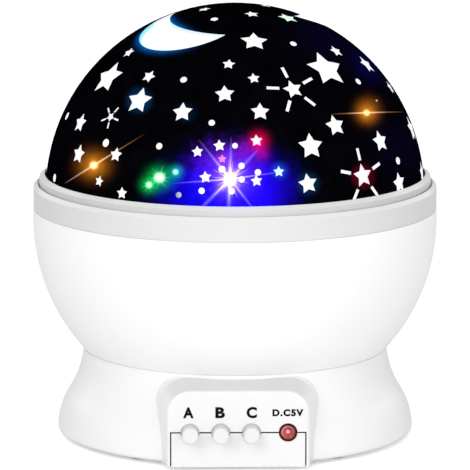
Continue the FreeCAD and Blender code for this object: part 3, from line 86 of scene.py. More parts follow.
class NodeWriter:
    """Adds nodes to a tree and links each one as it is made."""

    def __init__(self, tree: bpy.types.NodeTree) -> None:
        """Keep the tree that is written to."""
        self.tree = tree

    def feed(self, socket: bpy.types.NodeSocket, value: Feed) -> None:
        """Link a socket to another, or set its own value.

        Args:
            socket: The input that is fed.
            value: An output socket, a number, or a colour or vector.
        """
        if isinstance(value, bpy.types.NodeSocket):
            self.tree.links.new(value, socket)
        else:
            socket.default_value = value

    def fill(self, node: bpy.types.Node, inputs: Inputs) -> bpy.types.Node:
        """Feed several inputs of one node.

        Args:
            node: The node.
            inputs: What feeds its sockets, by name or place.

        Returns:
            The same node.
        """
        for key, value in inputs.items():
            self.feed(node.inputs[key], value)
        return node

    def add(self, kind: str, inputs: Optional[Inputs] = None, **settings: object) -> bpy.types.Node:
        """Add one node.

        Args:
            kind: The node's type name.
            inputs: What feeds its sockets, by name or place.
            settings: Its own settings.

        Returns:
            The new node.
        """
        node = self.tree.nodes.new(kind)
        for name, value in settings.items():
            setattr(node, name, value)
        return self.fill(node, inputs or {})

    def maths(self, operation: str, *values: Feed) -> bpy.types.NodeSocket:
        """Work out one number.

        Args:
            operation: The Math node's operation.
            values: Numbers or sockets.

        Returns:
            The result's socket.
        """
        return self.add("ShaderNodeMath", dict(enumerate(values)), operation=operation).outputs[0]

    def times(self, first: Feed, second: Feed) -> bpy.types.NodeSocket:
        """Multiply two numbers."""
        return self.maths("MULTIPLY", first, second)

    def vector(self, operation: str, *values: Feed) -> bpy.types.NodeSocket:
        """Work out one vector, or the number that the operation gives.

        Args:
            operation: The Vector Math node's operation.
            values: Vectors or sockets; a scale goes last.

        Returns:
            The result's socket.
        """
        node = self.add("ShaderNodeVectorMath", operation=operation)
        for place, value in enumerate(values):
            socket = "Scale" if operation == "SCALE" and place == 1 else place
            self.feed(node.inputs[socket], value)
        return node.outputs["Value" if operation in ("DOT_PRODUCT", "LENGTH") else "Vector"]

    def split(self, vector: Feed) -> bpy.types.NodeOutputs:
        """Take a vector apart into X, Y and Z."""
        return self.add("ShaderNodeSeparateXYZ", {0: vector}).outputs

    def join(self, across: Feed, along: Feed, upward: Feed = 0.0) -> bpy.types.NodeSocket:
        """Make a vector of three numbers."""
        return self.add("ShaderNodeCombineXYZ", {"X": across, "Y": along, "Z": upward}).outputs[0]

    def angle(self, first: Feed, second: Feed) -> bpy.types.NodeSocket:
        """Work out the angle between two unit vectors, in radians."""
        return self.maths("ARCCOSINE", self.vector("DOT_PRODUCT", first, second))

    def place(self) -> bpy.types.NodeSocket:
        """Give the shaded point's place in the part's frame."""
        return self.add("ShaderNodeTexCoord").outputs["Object"]

    def ramp(self, value: Feed, start: float, end: float) -> bpy.types.NodeSocket:
        """Rise evenly from 0 to 1 and stay level on both sides.

        Args:
            value: What is compared.
            start: Value that gives 0.
            end: Value that gives 1.

        Returns:
            The risen share.
        """
        inputs = {"Value": value, "From Min": start, "From Max": end}
        return self.add("ShaderNodeMapRange", inputs).outputs[0]

    def dim(self, factor: Feed, left: float) -> bpy.types.NodeSocket:
        """Fall from 1 at no factor to what is left at a factor of 1."""
        return self.maths("MULTIPLY_ADD", factor, left - 1.0, 1.0)

    def blend(self, factor: Feed, first: Feed, second: Feed) -> bpy.types.NodeSocket:
        """Blend two colours.

        Args:
            factor: Share of the second colour.
            first: Colour at 0.
            second: Colour at 1.

        Returns:
            The blended colour's socket.
        """
        return self.add("ShaderNodeMix", {0: factor, 6: first, 7: second}, data_type="RGBA").outputs[2]

    def fade(self, distance: Feed, reach: Feed, power: float = 2.0) -> bpy.types.NodeSocket:
        """Soft fall from 1 at no distance towards 0 past the reach.

        Args:
            distance: Distance from the middle.
            reach: Distance at which about a third is left.
            power: 2 for a round fall, more for a flatter middle.

        Returns:
            The share that is left.
        """
        ratio = self.maths("ABSOLUTE", self.maths("DIVIDE", distance, reach))
        return self.maths("EXPONENT", self.times(self.maths("POWER", ratio, power), -1.0))


class Wire(Enum):
    """Kinds of socket that the shared groups take and give."""

    NUMBER = "NodeSocketFloat"
    ARROW = "NodeSocketVector"
    PAINT = "NodeSocketColor"


class SharedGroup:
    """A node group that several finishes place with their own values."""

    def __init__(self, name: str, takes: Sequence[Tuple[str, Wire, Feed]],
                 gives: Sequence[Tuple[str, Wire]]) -> None:
        """Make the empty group with its sockets.

        Args:
            name: The group's name.
            takes: Inputs with their usual values.
            gives: Outputs.
        """
        self.tree = bpy.data.node_groups.new(name, "ShaderNodeTree")
        for label, wire, value in takes:
            socket = self.tree.interface.new_socket(label, in_out="INPUT", socket_type=wire.value)
            socket.default_value = value
        for label, wire in gives:
            self.tree.interface.new_socket(label, in_out="OUTPUT", socket_type=wire.value)
        self.write = NodeWriter(self.tree)
        self.start = self.tree.nodes.new("NodeGroupInput").outputs
        self.end = self.tree.nodes.new("NodeGroupOutput").inputs

    def give(self, **values: Feed) -> "SharedGroup":
        """Feed the group's outputs.

        Args:
            values: What feeds each of them.

        Returns:
            The same group.
        """
        for name, value in values.items():
            self.write.feed(self.end[name], value)
        return self

    def place(self, write: NodeWriter, **values: Feed) -> bpy.types.NodeOutputs:
        """Place the group in a material.

        Args:
            write: Writer of the material's tree.
            values: What feeds its inputs, with _ for a space in a name.

        Returns:
            The placed group's outputs.
        """
        inputs = {name.replace("_", " "): value for name, value in values.items()}
        return write.add("ShaderNodeGroup", inputs, node_tree=self.tree).outputs


@dataclass(frozen=True)
class DomeDisc:
    """A round disc on the dome, measured in degrees from the dome's centre.

    Attributes:
        turn: Its middle to the right of the front.
        rise: Its middle above level.
        radius: From its middle to its rim.
    """

    turn: float
    rise: float
    radius: float

    def depth(self, write: NodeWriter, direction: Feed) -> bpy.types.NodeSocket:
        """Work out how far inside the disc a direction lies, in radians.

        Args:
            write: Writer of the tree.
            direction: The direction from the dome's centre.

        Returns:
            The depth, under 0 outside the disc.
        """
        off = write.angle(direction, heading(self.turn, self.rise))
        return write.maths("SUBTRACT", math.radians(self.radius), off)


class SharedEffects:
    """The effects that more than one finish uses, each made once."""

    moon_disc: DomeDisc = DomeDisc(-49.0, 71.5, 16.35)
    moon_bite: DomeDisc = DomeDisc(3.0, 85.0, 20.3)

    def __init__(self) -> None:
        """Make every group."""
        self.grain = self.moulded_grain()
        self.dome = self.dome_flat()
        self.spot = self.glow_spot()
        self.ray = self.light_ray()
        self.crescent = self.crescent_edge()

    def moulded_grain(self) -> SharedGroup:
        """Make the fine tool grain and broad flow marks of moulded plastic.

        Returns:
            The group.
        """
        group = SharedGroup("moulded_grain",
                            [("Position", Wire.ARROW, (0, 0, 0)), ("Grain Scale", Wire.NUMBER, 2600.0),
                             ("Flow Scale", Wire.NUMBER, 26.0)],
                            [("Height", Wire.NUMBER), ("Flow", Wire.NUMBER)])
        write, start = group.write, group.start
        fine = write.add("ShaderNodeTexNoise", {"Vector": start["Position"], "Scale": start["Grain Scale"],
                                                "Detail": 2.0, "Roughness": 0.5})
        broad = write.add("ShaderNodeTexNoise", {"Vector": start["Position"], "Scale": start["Flow Scale"],
                                                 "Detail": 3.0, "Roughness": 0.55, "Distortion": 0.6})
        return group.give(Height=fine.outputs["Fac"], Flow=broad.outputs["Fac"])

    def dome_flat(self) -> SharedGroup:
        """Find a point's place as seen from the dome's front, in millimetres from the dome's centre.

        The windows repeat on the back, so a point there takes the place of its opposite one.

        Returns:
            The group.
        """
        group = SharedGroup("dome_flat", [("Position", Wire.ARROW, (0, 0, 0))],
                            [("Flat", Wire.ARROW), ("Direction", Wire.ARROW), ("Front", Wire.NUMBER)])
        write = group.write
        out = write.vector("NORMALIZE", write.vector("SUBTRACT", group.start["Position"], DOME_CENTRE))
        parts = write.split(out)
        on_front = write.maths("LESS_THAN", parts["Y"], 0.0)
        side = write.maths("SUBTRACT", write.times(on_front, 2.0), 1.0)
        facing = write.join(write.times(parts["X"], side), write.times(parts["Y"], side), parts["Z"])
        millimetres = DOME_RADIUS * 1000.0
        flat = write.join(write.times(write.vector("DOT_PRODUCT", facing, FRONT_RIGHT), millimetres),
                          write.times(write.vector("DOT_PRODUCT", facing, FRONT_UP), millimetres))
        steep, softness = 9.0, 0.2
        ahead = write.times(write.maths("ABSOLUTE", parts["Y"]), steep)
        front = write.maths("SMOOTH_MIN", ahead, 1.0, softness)
        return group.give(Flat=flat, Direction=out, Front=front)

    def glow_spot(self) -> SharedGroup:
        """Make a bright core in a coloured halo on the dome.

        Returns:
            The group.
        """
        group = SharedGroup("glow_spot",
                            [("Flat", Wire.ARROW, (0, 0, 0)), ("Centre", Wire.ARROW, (0, 0, 0)),
                             ("Stretch", Wire.ARROW, (1, 1, 1)), ("Core", Wire.NUMBER, 1.0),
                             ("Halo", Wire.NUMBER, 4.0), ("Edge", Wire.NUMBER, 1.5),
                             ("Core Colour", Wire.PAINT, (1, 1, 1, 1)),
                             ("Halo Colour", Wire.PAINT, (1, 1, 1, 1))],
                            [("Colour", Wire.PAINT), ("Share", Wire.NUMBER)])
        write, start = group.write, group.start
        moved = write.vector("SUBTRACT", start["Flat"], start["Centre"])
        off = write.vector("DIVIDE", moved, start["Stretch"])
        reach = write.vector("LENGTH", off)
        fallen = write.maths("POWER", write.maths("DIVIDE", reach, start["Halo"]), start["Edge"])
        halo = write.maths("EXPONENT", write.times(fallen, -1.0))
        core = write.fade(reach, start["Core"], 4.0)
        colour = write.vector("ADD", write.vector("SCALE", start["Halo Colour"], halo),
                              write.vector("SCALE", start["Core Colour"], core))
        return group.give(Colour=colour, Share=halo)

    def light_ray(self) -> SharedGroup:
        """Make a thin ray of light that tapers away from its root.

        Returns:
            The group.
        """
        group = SharedGroup("light_ray",
                            [("Flat", Wire.ARROW, (0, 0, 0)), ("Root", Wire.ARROW, (0, 0, 0)),
                             ("Along", Wire.ARROW, (1, 0, 0)), ("Over", Wire.ARROW, (0, 1, 0)),
                             ("Reach", Wire.NUMBER, 10.0), ("Width", Wire.NUMBER, 0.4),
                             ("Colour", Wire.PAINT, (1, 1, 1, 1))],
                            [("Colour", Wire.PAINT)])
        write, start = group.write, group.start
        tip_width, dimming = 0.3, 0.7
        off = write.vector("SUBTRACT", start["Flat"], start["Root"])
        run = write.maths("DIVIDE", write.vector("DOT_PRODUCT", off, start["Along"]), start["Reach"])
        side = write.vector("DOT_PRODUCT", off, start["Over"])
        left = write.times(write.maths("MAXIMUM", write.maths("SUBTRACT", 1.0, run), 0.0),
                           write.maths("GREATER_THAN", run, 0.0))
        width = write.times(write.maths("MULTIPLY_ADD", left, 1.0 - tip_width, tip_width), start["Width"])
        share = write.times(write.maths("POWER", left, dimming), write.fade(side, width, 2.0))
        return group.give(Colour=write.vector("SCALE", start["Colour"], share))

    def crescent_edge(self) -> SharedGroup:
        """Find how far inside the crescent window a point lies, in degrees over the dome.

        The crescent is what a bite leaves of a disc, and it repeats on the back.

        Returns:
            The group.
        """
        group = SharedGroup("crescent_edge", [("Direction", Wire.ARROW, (0, 0, 1))],
                            [("Inside", Wire.NUMBER)])
        write = group.write
        sides = []
        for turned in (1.0, -1.0):
            here = write.vector("MULTIPLY", group.start["Direction"], (turned, turned, 1.0))
            bite = write.angle(here, heading(self.moon_bite.turn, self.moon_bite.rise))
            bite_left = write.maths("SUBTRACT", bite, math.radians(self.moon_bite.radius))
            sides.append(write.maths("MINIMUM", self.moon_disc.depth(write, here), bite_left))
        inside = write.times(write.maths("MAXIMUM", sides[0], sides[1]), math.degrees(1.0))
        return group.give(Inside=inside)


@dataclass(frozen=True)
class Finish:
    """A finish of some of the part's pieces.

    Attributes:
        name: Material name.
    """

    name: str

    def paint(self, write: NodeWriter, effects: SharedEffects) -> Inputs:
        """Work out what feeds the shader.

        Args:
            write: Writer of the material's tree.
            effects: The shared node groups.

        Returns:
            Sockets and values, by the names of the shader's inputs.
        """
        raise NotImplementedError("a finish without its own paint: " + self.name)

    def material(self, effects: SharedEffects) -> bpy.types.Material:
        """Build the material.

        Args:
            effects: The shared node groups.

        Returns:
            The material.
        """
        made, write, surface = new_material(self.name)
        write.fill(surface, self.paint(write, effects))
        return made


@dataclass(frozen=True)
class MouldedPlastic(Finish):
    """Injection-moulded plastic with a fine tool grain, an optional painted highlight on faces that look
    upward and painted shade where the surface turns away.

    Attributes:
        colour: Its colour.
        shade: The colour where the flow marks darken it.
        roughness: Middle roughness.
        depth: Height of the tool grain.
        coat: Weight of the polished skin.
        grain: Scale of the tool grain.
        painted_top_light: Colour of the painted highlight on faces that look upward, or None for the same
            as the rest.
        edge: Share of the colour that the painted shade leaves where the surface turns away.
        bend: How late that painted shade sets in.
        gloss: Specular level.
        swing: How much the flow marks sway the roughness.
        painted_top_slope: How far upward a face looks where the painted highlight starts and is full.
    """

    colour: Colour
    shade: Colour
    roughness: float = 0.32
    depth: float = 0.000012
    coat: float = 0.0
    grain: float = 2600.0
    painted_top_light: Optional[Colour] = None
    edge: float = 1.0
    bend: float = 2.0
    gloss: float = 0.5
    swing: float = 0.10
    painted_top_slope: Tuple[float, float] = (0.25, 0.6)

    def body_colour(self, write: NodeWriter, flow: Feed) -> bpy.types.NodeSocket:
        """Work out the colour of the plastic, with its painted highlight and painted shade.

        Args:
            write: Writer of the material's tree.
            flow: The flow marks' mask.

        Returns:
            The colour's socket.
        """
        colour = write.blend(flow, rgba(self.colour), rgba(self.shade))
        # Painted highlight: faces that look upward take a lighter colour.
        if self.painted_top_light is not None:
            upward = write.split(write.add("ShaderNodeNewGeometry").outputs["Normal"])["Z"]
            colour = write.blend(write.ramp(upward, *self.painted_top_slope), colour, rgba(self.painted_top_light))
        # Painted shade: the colour darkens where the surface turns away.
        if self.edge < 1.0:
            away = write.add("ShaderNodeLayerWeight", {"Blend": 0.5}).outputs["Facing"]
            turned = write.maths("POWER", away, self.bend)
            colour = write.vector("SCALE", colour, write.dim(turned, self.edge))
        return colour

    def paint(self, write: NodeWriter, effects: SharedEffects) -> Inputs:
        """Work out what feeds the shader.

        Args:
            write: Writer of the material's tree.
            effects: The shared node groups.

        Returns:
            Sockets and values, by the names of the shader's inputs.
        """
        grain = effects.grain.place(write, Position=write.place(), Grain_Scale=self.grain)
        bump = write.add("ShaderNodeBump", {"Height": grain["Height"], "Strength": 0.35,
                                            "Distance": self.depth})
        smoothest = self.roughness - self.swing / 2.0
        return {"Base Color": self.body_colour(write, grain["Flow"]),
                "Roughness": write.maths("MULTIPLY_ADD", grain["Flow"], self.swing, smoothest),
                "Normal": bump.outputs[0], "Specular IOR Level": self.gloss,
                "Coat Weight": self.coat, "Coat Roughness": 0.08}


@dataclass(frozen=True)
class FootPlastic(MouldedPlastic):
    """The foot's plastic, with painted shade on the panel housing's top and on the panel's face.

    Attributes:
        hood_shade: Share of the colour that the painted shade leaves on the housing's top.
        hood_slope: How far upward a face looks where the housing's top starts and is full.
        hood_sides: Distance from the middle where the housing's shade starts and is full.
        hood_back: Where the housing's top begins, from the back.
        face: Share of the colour that the painted shade leaves on the panel's face.
        face_skin: How deep behind the panel's face its shade reaches.
    """

    hood_shade: float = 0.80
    hood_slope: Tuple[float, float] = (0.35, 0.75)
    hood_sides: Tuple[float, float] = (0.0262, 0.0190)
    hood_back: float = -0.0475
    face: float = 0.93
    face_skin: float = 0.0004

    def body_colour(self, write: NodeWriter, flow: Feed) -> bpy.types.NodeSocket:
        """Work out the colour of the foot, with its painted shade.

        Args:
            write: Writer of the material's tree.
            flow: The flow marks' mask.

        Returns:
            The colour's socket.
        """
        colour = MouldedPlastic.body_colour(self, write, flow)
        # Painted shade: the housing's upward faces and the panel's face are darkened.
        place = write.split(write.place())
        upward = write.split(write.add("ShaderNodeNewGeometry").outputs["Normal"])["Z"]
        middle = write.ramp(write.maths("ABSOLUTE", place["X"]), *self.hood_sides)
        front = write.maths("LESS_THAN", place["Y"], self.hood_back)
        top = write.times(write.times(write.ramp(upward, *self.hood_slope), front), middle)
        face = write.maths("LESS_THAN", place["Y"], PANEL_FACE + self.face_skin)
        left = write.times(write.dim(top, self.hood_shade), write.dim(face, self.face))
        return write.vector("SCALE", colour, left)


@dataclass(frozen=True)
class SocketResin(Finish):
    """Dark red resin round the socket's bore, with a painted highlight that pales its middle, painted shade
    at its rim and a painted glow, though it is no lamp.

    Attributes:
        across: Place of the pale middle across the panel.
        above: Height of the pale middle.
        pale: Colour of the painted highlight in the middle.
        red: Colour round it.
        rim: Colour of the painted shade at the rim.
        red_ring: Distances from the middle where the red starts and is full.
        rim_ring: Distances from the middle where the rim starts and is full.
        fray: How much the grain frays both rings.
    """

    name: str = "red_socket_resin_painted_glow"
    across: float = 0.0155
    above: float = 0.0125
    pale: Colour = (1.0, 0.66, 0.55)
    red: Colour = (0.90, 0.27, 0.23)
    rim: Colour = (0.22, 0.010, 0.014)
    red_ring: Tuple[float, float] = (0.0006, 0.0015)
    rim_ring: Tuple[float, float] = (0.0014, 0.0026)
    fray: float = 0.0007

    def paint(self, write: NodeWriter, effects: SharedEffects) -> Inputs:
        """Work out what feeds the shader.

        Args:
            write: Writer of the material's tree.
            effects: The shared node groups.

        Returns:
            Sockets and values, by the names of the shader's inputs.
        """
        place = write.place()
        off = write.vector("MULTIPLY", write.vector("SUBTRACT", place, (self.across, 0.0, self.above)),
                           (1.0, 0.0, 1.0))
        grain = effects.grain.place(write, Position=place, Grain_Scale=2600.0, Flow_Scale=700.0)
        reach = write.maths("MULTIPLY_ADD", grain["Flow"], self.fray, write.vector("LENGTH", off))
        colour = write.blend(write.ramp(reach, *self.red_ring), rgba(self.pale), rgba(self.red))
        colour = write.blend(write.ramp(reach, *self.rim_ring), colour, rgba(self.rim))
        # Painted glow: the resin gives off its own colour though it is no lamp.
        return {"Base Color": colour, "Emission Color": colour, "Emission Strength": 0.5, "Roughness": 0.2}


@dataclass(frozen=True)
class Metal(Finish):
    """Plated steel with fine drawing marks.

    Attributes:
        colour: Its colour.
        roughness: Middle roughness.
        worn: Share of the colour that is left in the marks.
    """

    colour: Colour
    roughness: float = 0.3
    worn: float = 0.82

    def paint(self, write: NodeWriter, effects: SharedEffects) -> Inputs:
        """Work out what feeds the shader.

        Args:
            write: Writer of the material's tree.
            effects: The shared node groups.

        Returns:
            Sockets and values, by the names of the shader's inputs.
        """
        drawn = write.add("ShaderNodeMapping", {"Vector": write.place(), "Scale": (1.0, 1.0, 0.05)})
        grain = effects.grain.place(write, Position=drawn.outputs[0], Grain_Scale=3000.0, Flow_Scale=90.0)
        marked = rgba(dimmed(self.colour, self.worn))
        return {"Base Color": write.blend(grain["Flow"], rgba(self.colour), marked),
                "Roughness": write.maths("MULTIPLY_ADD", grain["Height"], 0.2, self.roughness - 0.1),
                "Metallic": 1.0}


@dataclass(frozen=True)
class LitGlass(Finish):
    """Clear or tinted cast resin that glows softly from inside.

    Attributes:
        colour: Colour of the resin.
        light: Colour that it gives off.
        strength: How strongly it gives it off.
        roughness: Roughness.
    """

    colour: Colour
    light: Colour
    strength: float = 0.8
    roughness: float = 0.15

    def paint(self, write: NodeWriter, effects: SharedEffects) -> Inputs:
        """Work out what feeds the shader.

        Args:
            write: Writer of the material's tree.
            effects: The shared node groups.

        Returns:
            Sockets and values, by the names of the shader's inputs.
        """
        grain = effects.grain.place(write, Position=write.place(), Grain_Scale=900.0, Flow_Scale=300.0)
        flow = grain["Flow"]
        return {"Base Color": write.blend(flow, rgba(self.colour), rgba(dimmed(self.colour, 0.9))),
                "Emission Color": write.blend(flow, rgba(self.light), rgba(dimmed(self.light, 0.75))),
                "Emission Strength": self.strength, "Roughness": self.roughness}


def new_material(name: str) -> Tuple[bpy.types.Material, NodeWriter, bpy.types.Node]:
    """Make an empty material with its shader.

    Args:
        name: The material's name.

    Returns:
        The material, a writer of its tree and its Principled shader.
    """
    made = bpy.data.materials.new(name)
    made.use_nodes = True
    tree = made.node_tree
    tree.nodes.clear()
    write = NodeWriter(tree)
    surface = tree.nodes.new("ShaderNodeBsdfPrincipled")
    out = tree.nodes.new("ShaderNodeOutputMaterial")
    tree.links.new(surface.outputs[0], out.inputs["Surface"])
    return made, write, surface


@dataclass(frozen=True)
class GlowSpot:
    """A coloured glow on the dome, in millimetres as seen from the front.

    Attributes:
        across: Place to the right of the dome's centre.
        above: Place above it.
        core: Radius of the bright core.
        halo: Radius of the halo.
        core_colour: Colour of the core.
        halo_colour: Colour of the halo.
        edge: How sharply the halo ends.
        wide: Stretch across.
        high: Stretch upward.
    """

    across: float
    above: float
    core: float
    halo: float
    core_colour: Colour
    halo_colour: Colour
    edge: float = 1.5
    wide: float = 1.0
    high: float = 1.0

    def write(self, write: NodeWriter, effects: SharedEffects, flat: Feed) -> bpy.types.NodeOutputs:
        """Place the glow in a material.

        Args:
            write: Writer of the material's tree.
            effects: The shared node groups.
            flat: Place of the shaded point as seen from the front.

        Returns:
            The glow's colour and its share.
        """
        return effects.spot.place(write, Flat=flat, Centre=(self.across, self.above, 0.0),
                                  Stretch=(self.wide, self.high, 1.0), Core=self.core, Halo=self.halo,
                                  Edge=self.edge, Core_Colour=rgba(self.core_colour),
                                  Halo_Colour=rgba(self.halo_colour))


@dataclass(frozen=True)
class Ray:
    """A thin tapering ray of light on the dome, in millimetres as seen from the front.

    Attributes:
        across: Place of its root to the right of the dome's centre.
        above: Place of its root above it.
        angle: Degrees counterclockwise from the right.
        reach: Its length.
        width: Half width at its root.
        colour: Its colour.
    """

    across: float
    above: float
    angle: float
    reach: float
    width: float
    colour: Colour

    def write(self, write: NodeWriter, effects: SharedEffects, flat: Feed) -> bpy.types.NodeOutputs:
        """Place the ray in a material.

        Args:
            write: Writer of the material's tree.
            effects: The shared node groups.
            flat: Place of the shaded point as seen from the front.

        Returns:
            The ray's colour.
        """
        turn = math.radians(self.angle)
        return effects.ray.place(write, Flat=flat, Root=(self.across, self.above, 0.0),
                                 Along=(math.cos(turn), math.sin(turn), 0.0),
                                 Over=(-math.sin(turn), math.cos(turn), 0.0),
                                 Reach=self.reach, Width=self.width, Colour=rgba(self.colour))


@dataclass(frozen=True)
class StarLight:
    """All light that plays on the star dome.

    Attributes:
        burst: Middle of the white burst.
        left_amber: Middle of the amber glow at the left.
        right_amber: Middle of the amber glow at the right.
        leaf: Middle of the green glow.
        small_leaf: Middle of the smaller green glow beside it.
        fray: How far colour noise frays the cloud.
        moon_outer: Middle of the blue light outside the crescent.
        moon_tip: Middle of the blue light at its lower tip.
        moon_blue: Colour of that light.
        moon_width: Degrees that it spreads past the crescent's rim.
        moon_rim: Colour of the crescent's own rim.
        rim_depth: Degrees that the rim's colour reaches into the crescent.
        rim_walls: Degrees past the crescent that its window walls take the same colour.
        rim_bright: Middle of the rim's brightest stretch.
        rim_least: Share of the rim's colour that is left far from that.
    """

    burst: Tuple[float, float] = (-2.6, 3.6)
    left_amber: Tuple[float, float] = (-45.3, 8.3)
    right_amber: Tuple[float, float] = (41.1, 24.7)
    leaf: Tuple[float, float] = (-24.6, 4.2)
    small_leaf: Tuple[float, float] = (-27.9, 1.9)
    fray: float = 9.0
    moon_outer: Tuple[float, float] = (-27.1, 46.0)
    moon_tip: Tuple[float, float] = (-19.5, 54.5)
    moon_blue: Colour = (0.0, 0.10, 0.42)
    moon_width: float = 1.25
    moon_rim: Colour = (0.35, 0.90, 1.0)
    rim_depth: float = 0.8
    rim_walls: float = 1.5
    rim_bright: Tuple[float, float] = (-27.5, 49.0)
    rim_least: float = 0.2

    def cloud(self) -> List[GlowSpot]:
        """Describe the blue and violet cloud round the white burst.

        Returns:
            Its soft spots.
        """
        return [
            GlowSpot(-5.5, -1.5, 1.0, 13.0, DARK, (0.004, 0.0, 0.90), 3.6, 1.25, 0.84),
            GlowSpot(5.5, 1.0, 1.0, 9.6, DARK, (0.010, 0.0, 0.62), 3.0, 1.15, 0.95),
            GlowSpot(-3.6, 8.6, 1.0, 7.8, DARK, (0.070, 0.0, 0.44), 2.8, 1.25, 0.80),
            GlowSpot(-2.4, 4.4, 1.0, 6.8, DARK, (0.09, 0.035, 0.40), 2.2),
            GlowSpot(2.6, 12.4, 1.0, 2.8, DARK, (0.14, 0.0, 0.18), 2.2, 1.2),
        ]

    def glows(self) -> List[GlowSpot]:
        """Describe the round glows of the small lamps behind the dome.

        Returns:
            All of them.
        """
        green = (0.0, 0.42, 0.06)
        amber, ember = (0.50, 0.19, 0.012), (0.34, 0.10, 0.004)
        return [
            GlowSpot(*self.burst, 1.75, 2.9, (1.5, 1.5, 1.5), (0.50, 0.36, 0.60), 2.0),
            GlowSpot(*self.leaf, 1.45, 3.1, (0.9, 1.3, 0.9), green, 2.4, 1.12),
            GlowSpot(*self.small_leaf, 0.95, 2.4, (0.7, 1.1, 0.7), green, 2.4),
            GlowSpot(-19.6, 5.9, 0.85, 1.9, (0.5, 1.1, 0.8), (0.0, 0.36, 0.16), 2.4),
            GlowSpot(*self.left_amber, 1.15, 4.1, (1.0, 0.95, 0.45), ember, 2.4, 1.1),
            GlowSpot(*self.left_amber, 1.0, 2.2, DARK, amber, 1.6),
            GlowSpot(*self.right_amber, 0.95, 3.0, (1.0, 0.90, 0.35), ember, 2.2),
            GlowSpot(42.0, 26.2, 1.0, 3.6, DARK, (0.10, 0.03, 0.002), 2.6),
            GlowSpot(*self.right_amber, 1.0, 1.7, DARK, amber, 1.5),
            GlowSpot(44.6, 28.7, 0.35, 0.6, (0.6, 0.4, 0.2), DARK),
            GlowSpot(6.3, 15.4, 1.6, 2.9, (0.35, 0.0, 0.06), (0.62, 0.0, 0.06), 2.6),
            GlowSpot(7.4, 11.6, 0.8, 2.0, DARK, (0.26, 0.0, 0.09), 2.2),
            GlowSpot(-5.0, 9.9, 0.9, 1.5, (0.4, 0.02, 0.22), (0.3, 0.02, 0.2)),
            GlowSpot(39.6, 4.4, 1.0, 3.7, DARK, (0.075, 0.0, 0.003), 6.0),
            GlowSpot(12.9, 6.2, 1.0, 2.1, DARK, (0.0, 0.06, 0.42), 2.6),
            GlowSpot(21.9, 2.2, 1.0, 3.4, DARK, (0.0, 0.02, 0.05), 4.0),
            GlowSpot(-30.9, 28.6, 1.0, 4.1, DARK, (0.0, 0.020, 0.06), 6.0),
            GlowSpot(-16.2, 24.5, 1.0, 3.3, DARK, (0.0, 0.006, 0.016), 6.0),
            GlowSpot(43.0, 41.0, 1.0, 5.0, DARK, (0.002, 0.0, 0.05), 2.0),
            GlowSpot(30.0, 50.0, 1.0, 7.0, DARK, (0.001, 0.0, 0.012), 2.0, 1.4),
            GlowSpot(52.0, 14.0, 1.0, 8.0, DARK, (0.001, 0.0, 0.007), 2.0),
        ]

    def rays(self) -> List[Ray]:
        """Describe the streaks through the amber glows and the rays of the white burst.

        Returns:
            All of them.
        """
        peach, dusk = (0.80, 0.50, 0.30), (0.45, 0.20, 0.08)
        left, right = self.left_amber, self.right_amber
        found = [Ray(*left, 31.0, 19.0, 0.28, dusk), Ray(*left, 31.0, 11.0, 0.30, peach),
                 Ray(*left, 211.0, 11.0, 0.32, peach), Ray(*right, 3.0, 13.0, 0.26, dusk),
                 Ray(*right, 3.0, 7.0, 0.28, peach), Ray(*right, 183.0, 12.0, 0.26, dusk),
                 Ray(*right, 183.0, 7.0, 0.28, peach)]
        pale, violet = (0.85, 0.68, 0.95), (0.30, 0.20, 0.80)
        core_share = 0.55
        for angle, reach, width in ((8.0, 18.4, 0.34), (46.0, 13.0, 0.75), (88.0, 13.5, 0.62),
                                    (128.0, 16.0, 0.62), (184.0, 18.2, 0.36), (225.0, 15.5, 0.80),
                                    (267.0, 14.0, 0.95), (308.0, 13.5, 0.55)):
            found.append(Ray(*self.burst, angle, reach, width, violet))
            found.append(Ray(*self.burst, angle, reach * core_share, width * core_share, pale))
        for k in range(20):
            angle = 18.0 * k + 7.0 + 4.0 * math.sin(2.3 * k)
            found.append(Ray(*self.burst, angle, 5.2 + 1.5 * math.sin(1.7 * k), 0.26, pale))
        return found

    def sparks(self) -> List[Ray]:
        """Describe the short spikes round the green glows.

        Returns:
            All of them.
        """
        green = (0.06, 0.55, 0.14)
        found = []
        for k in range(14):
            angle = 360.0 / 14.0 * k + 7.0 * math.sin(1.9 * k)
            found.append(Ray(*self.leaf, angle, 3.7 + 0.5 * math.sin(2.7 * k), 0.32, green))
        for k in range(8):
            found.append(Ray(*self.small_leaf, 45.0 * k + 15.0, 2.6, 0.26, green))
        return found

    def tints(self) -> List[GlowSpot]:
        """Describe where the windows show a tint in place of white.

        Returns:
            Spots whose halo has the tint's colour.
        """
        return [
            GlowSpot(12.9, 6.2, 1.0, 2.6, DARK, (0.66, 0.98, 0.94), 3.0),
            GlowSpot(21.9, 2.2, 1.0, 4.6, DARK, (0.86, 0.92, 1.0), 3.0),
            GlowSpot(-5.0, 9.9, 1.0, 1.9, DARK, (0.78, 0.16, 0.62), 3.0),
            GlowSpot(4.4, 9.0, 1.0, 1.4, DARK, (0.95, 0.62, 0.85), 3.0),
            GlowSpot(6.0, 15.7, 1.0, 2.2, DARK, (1.0, 0.80, 0.86), 3.0),
            GlowSpot(-19.5, -1.5, 1.0, 1.8, DARK, (0.34, 0.35, 0.42), 3.0),
            GlowSpot(16.7, 55.5, 1.0, 3.5, DARK, (0.80, 1.0, 0.80), 3.0),
            GlowSpot(2.0, 60.2, 1.0, 2.2, DARK, (0.88, 1.0, 0.45), 3.0),
            GlowSpot(39.6, 4.4, 1.0, 5.2, DARK, (1.0, 0.90, 0.91), 3.0),
            GlowSpot(-30.9, 28.6, 1.0, 5.0, DARK, (0.90, 0.97, 1.0), 3.0),
        ]

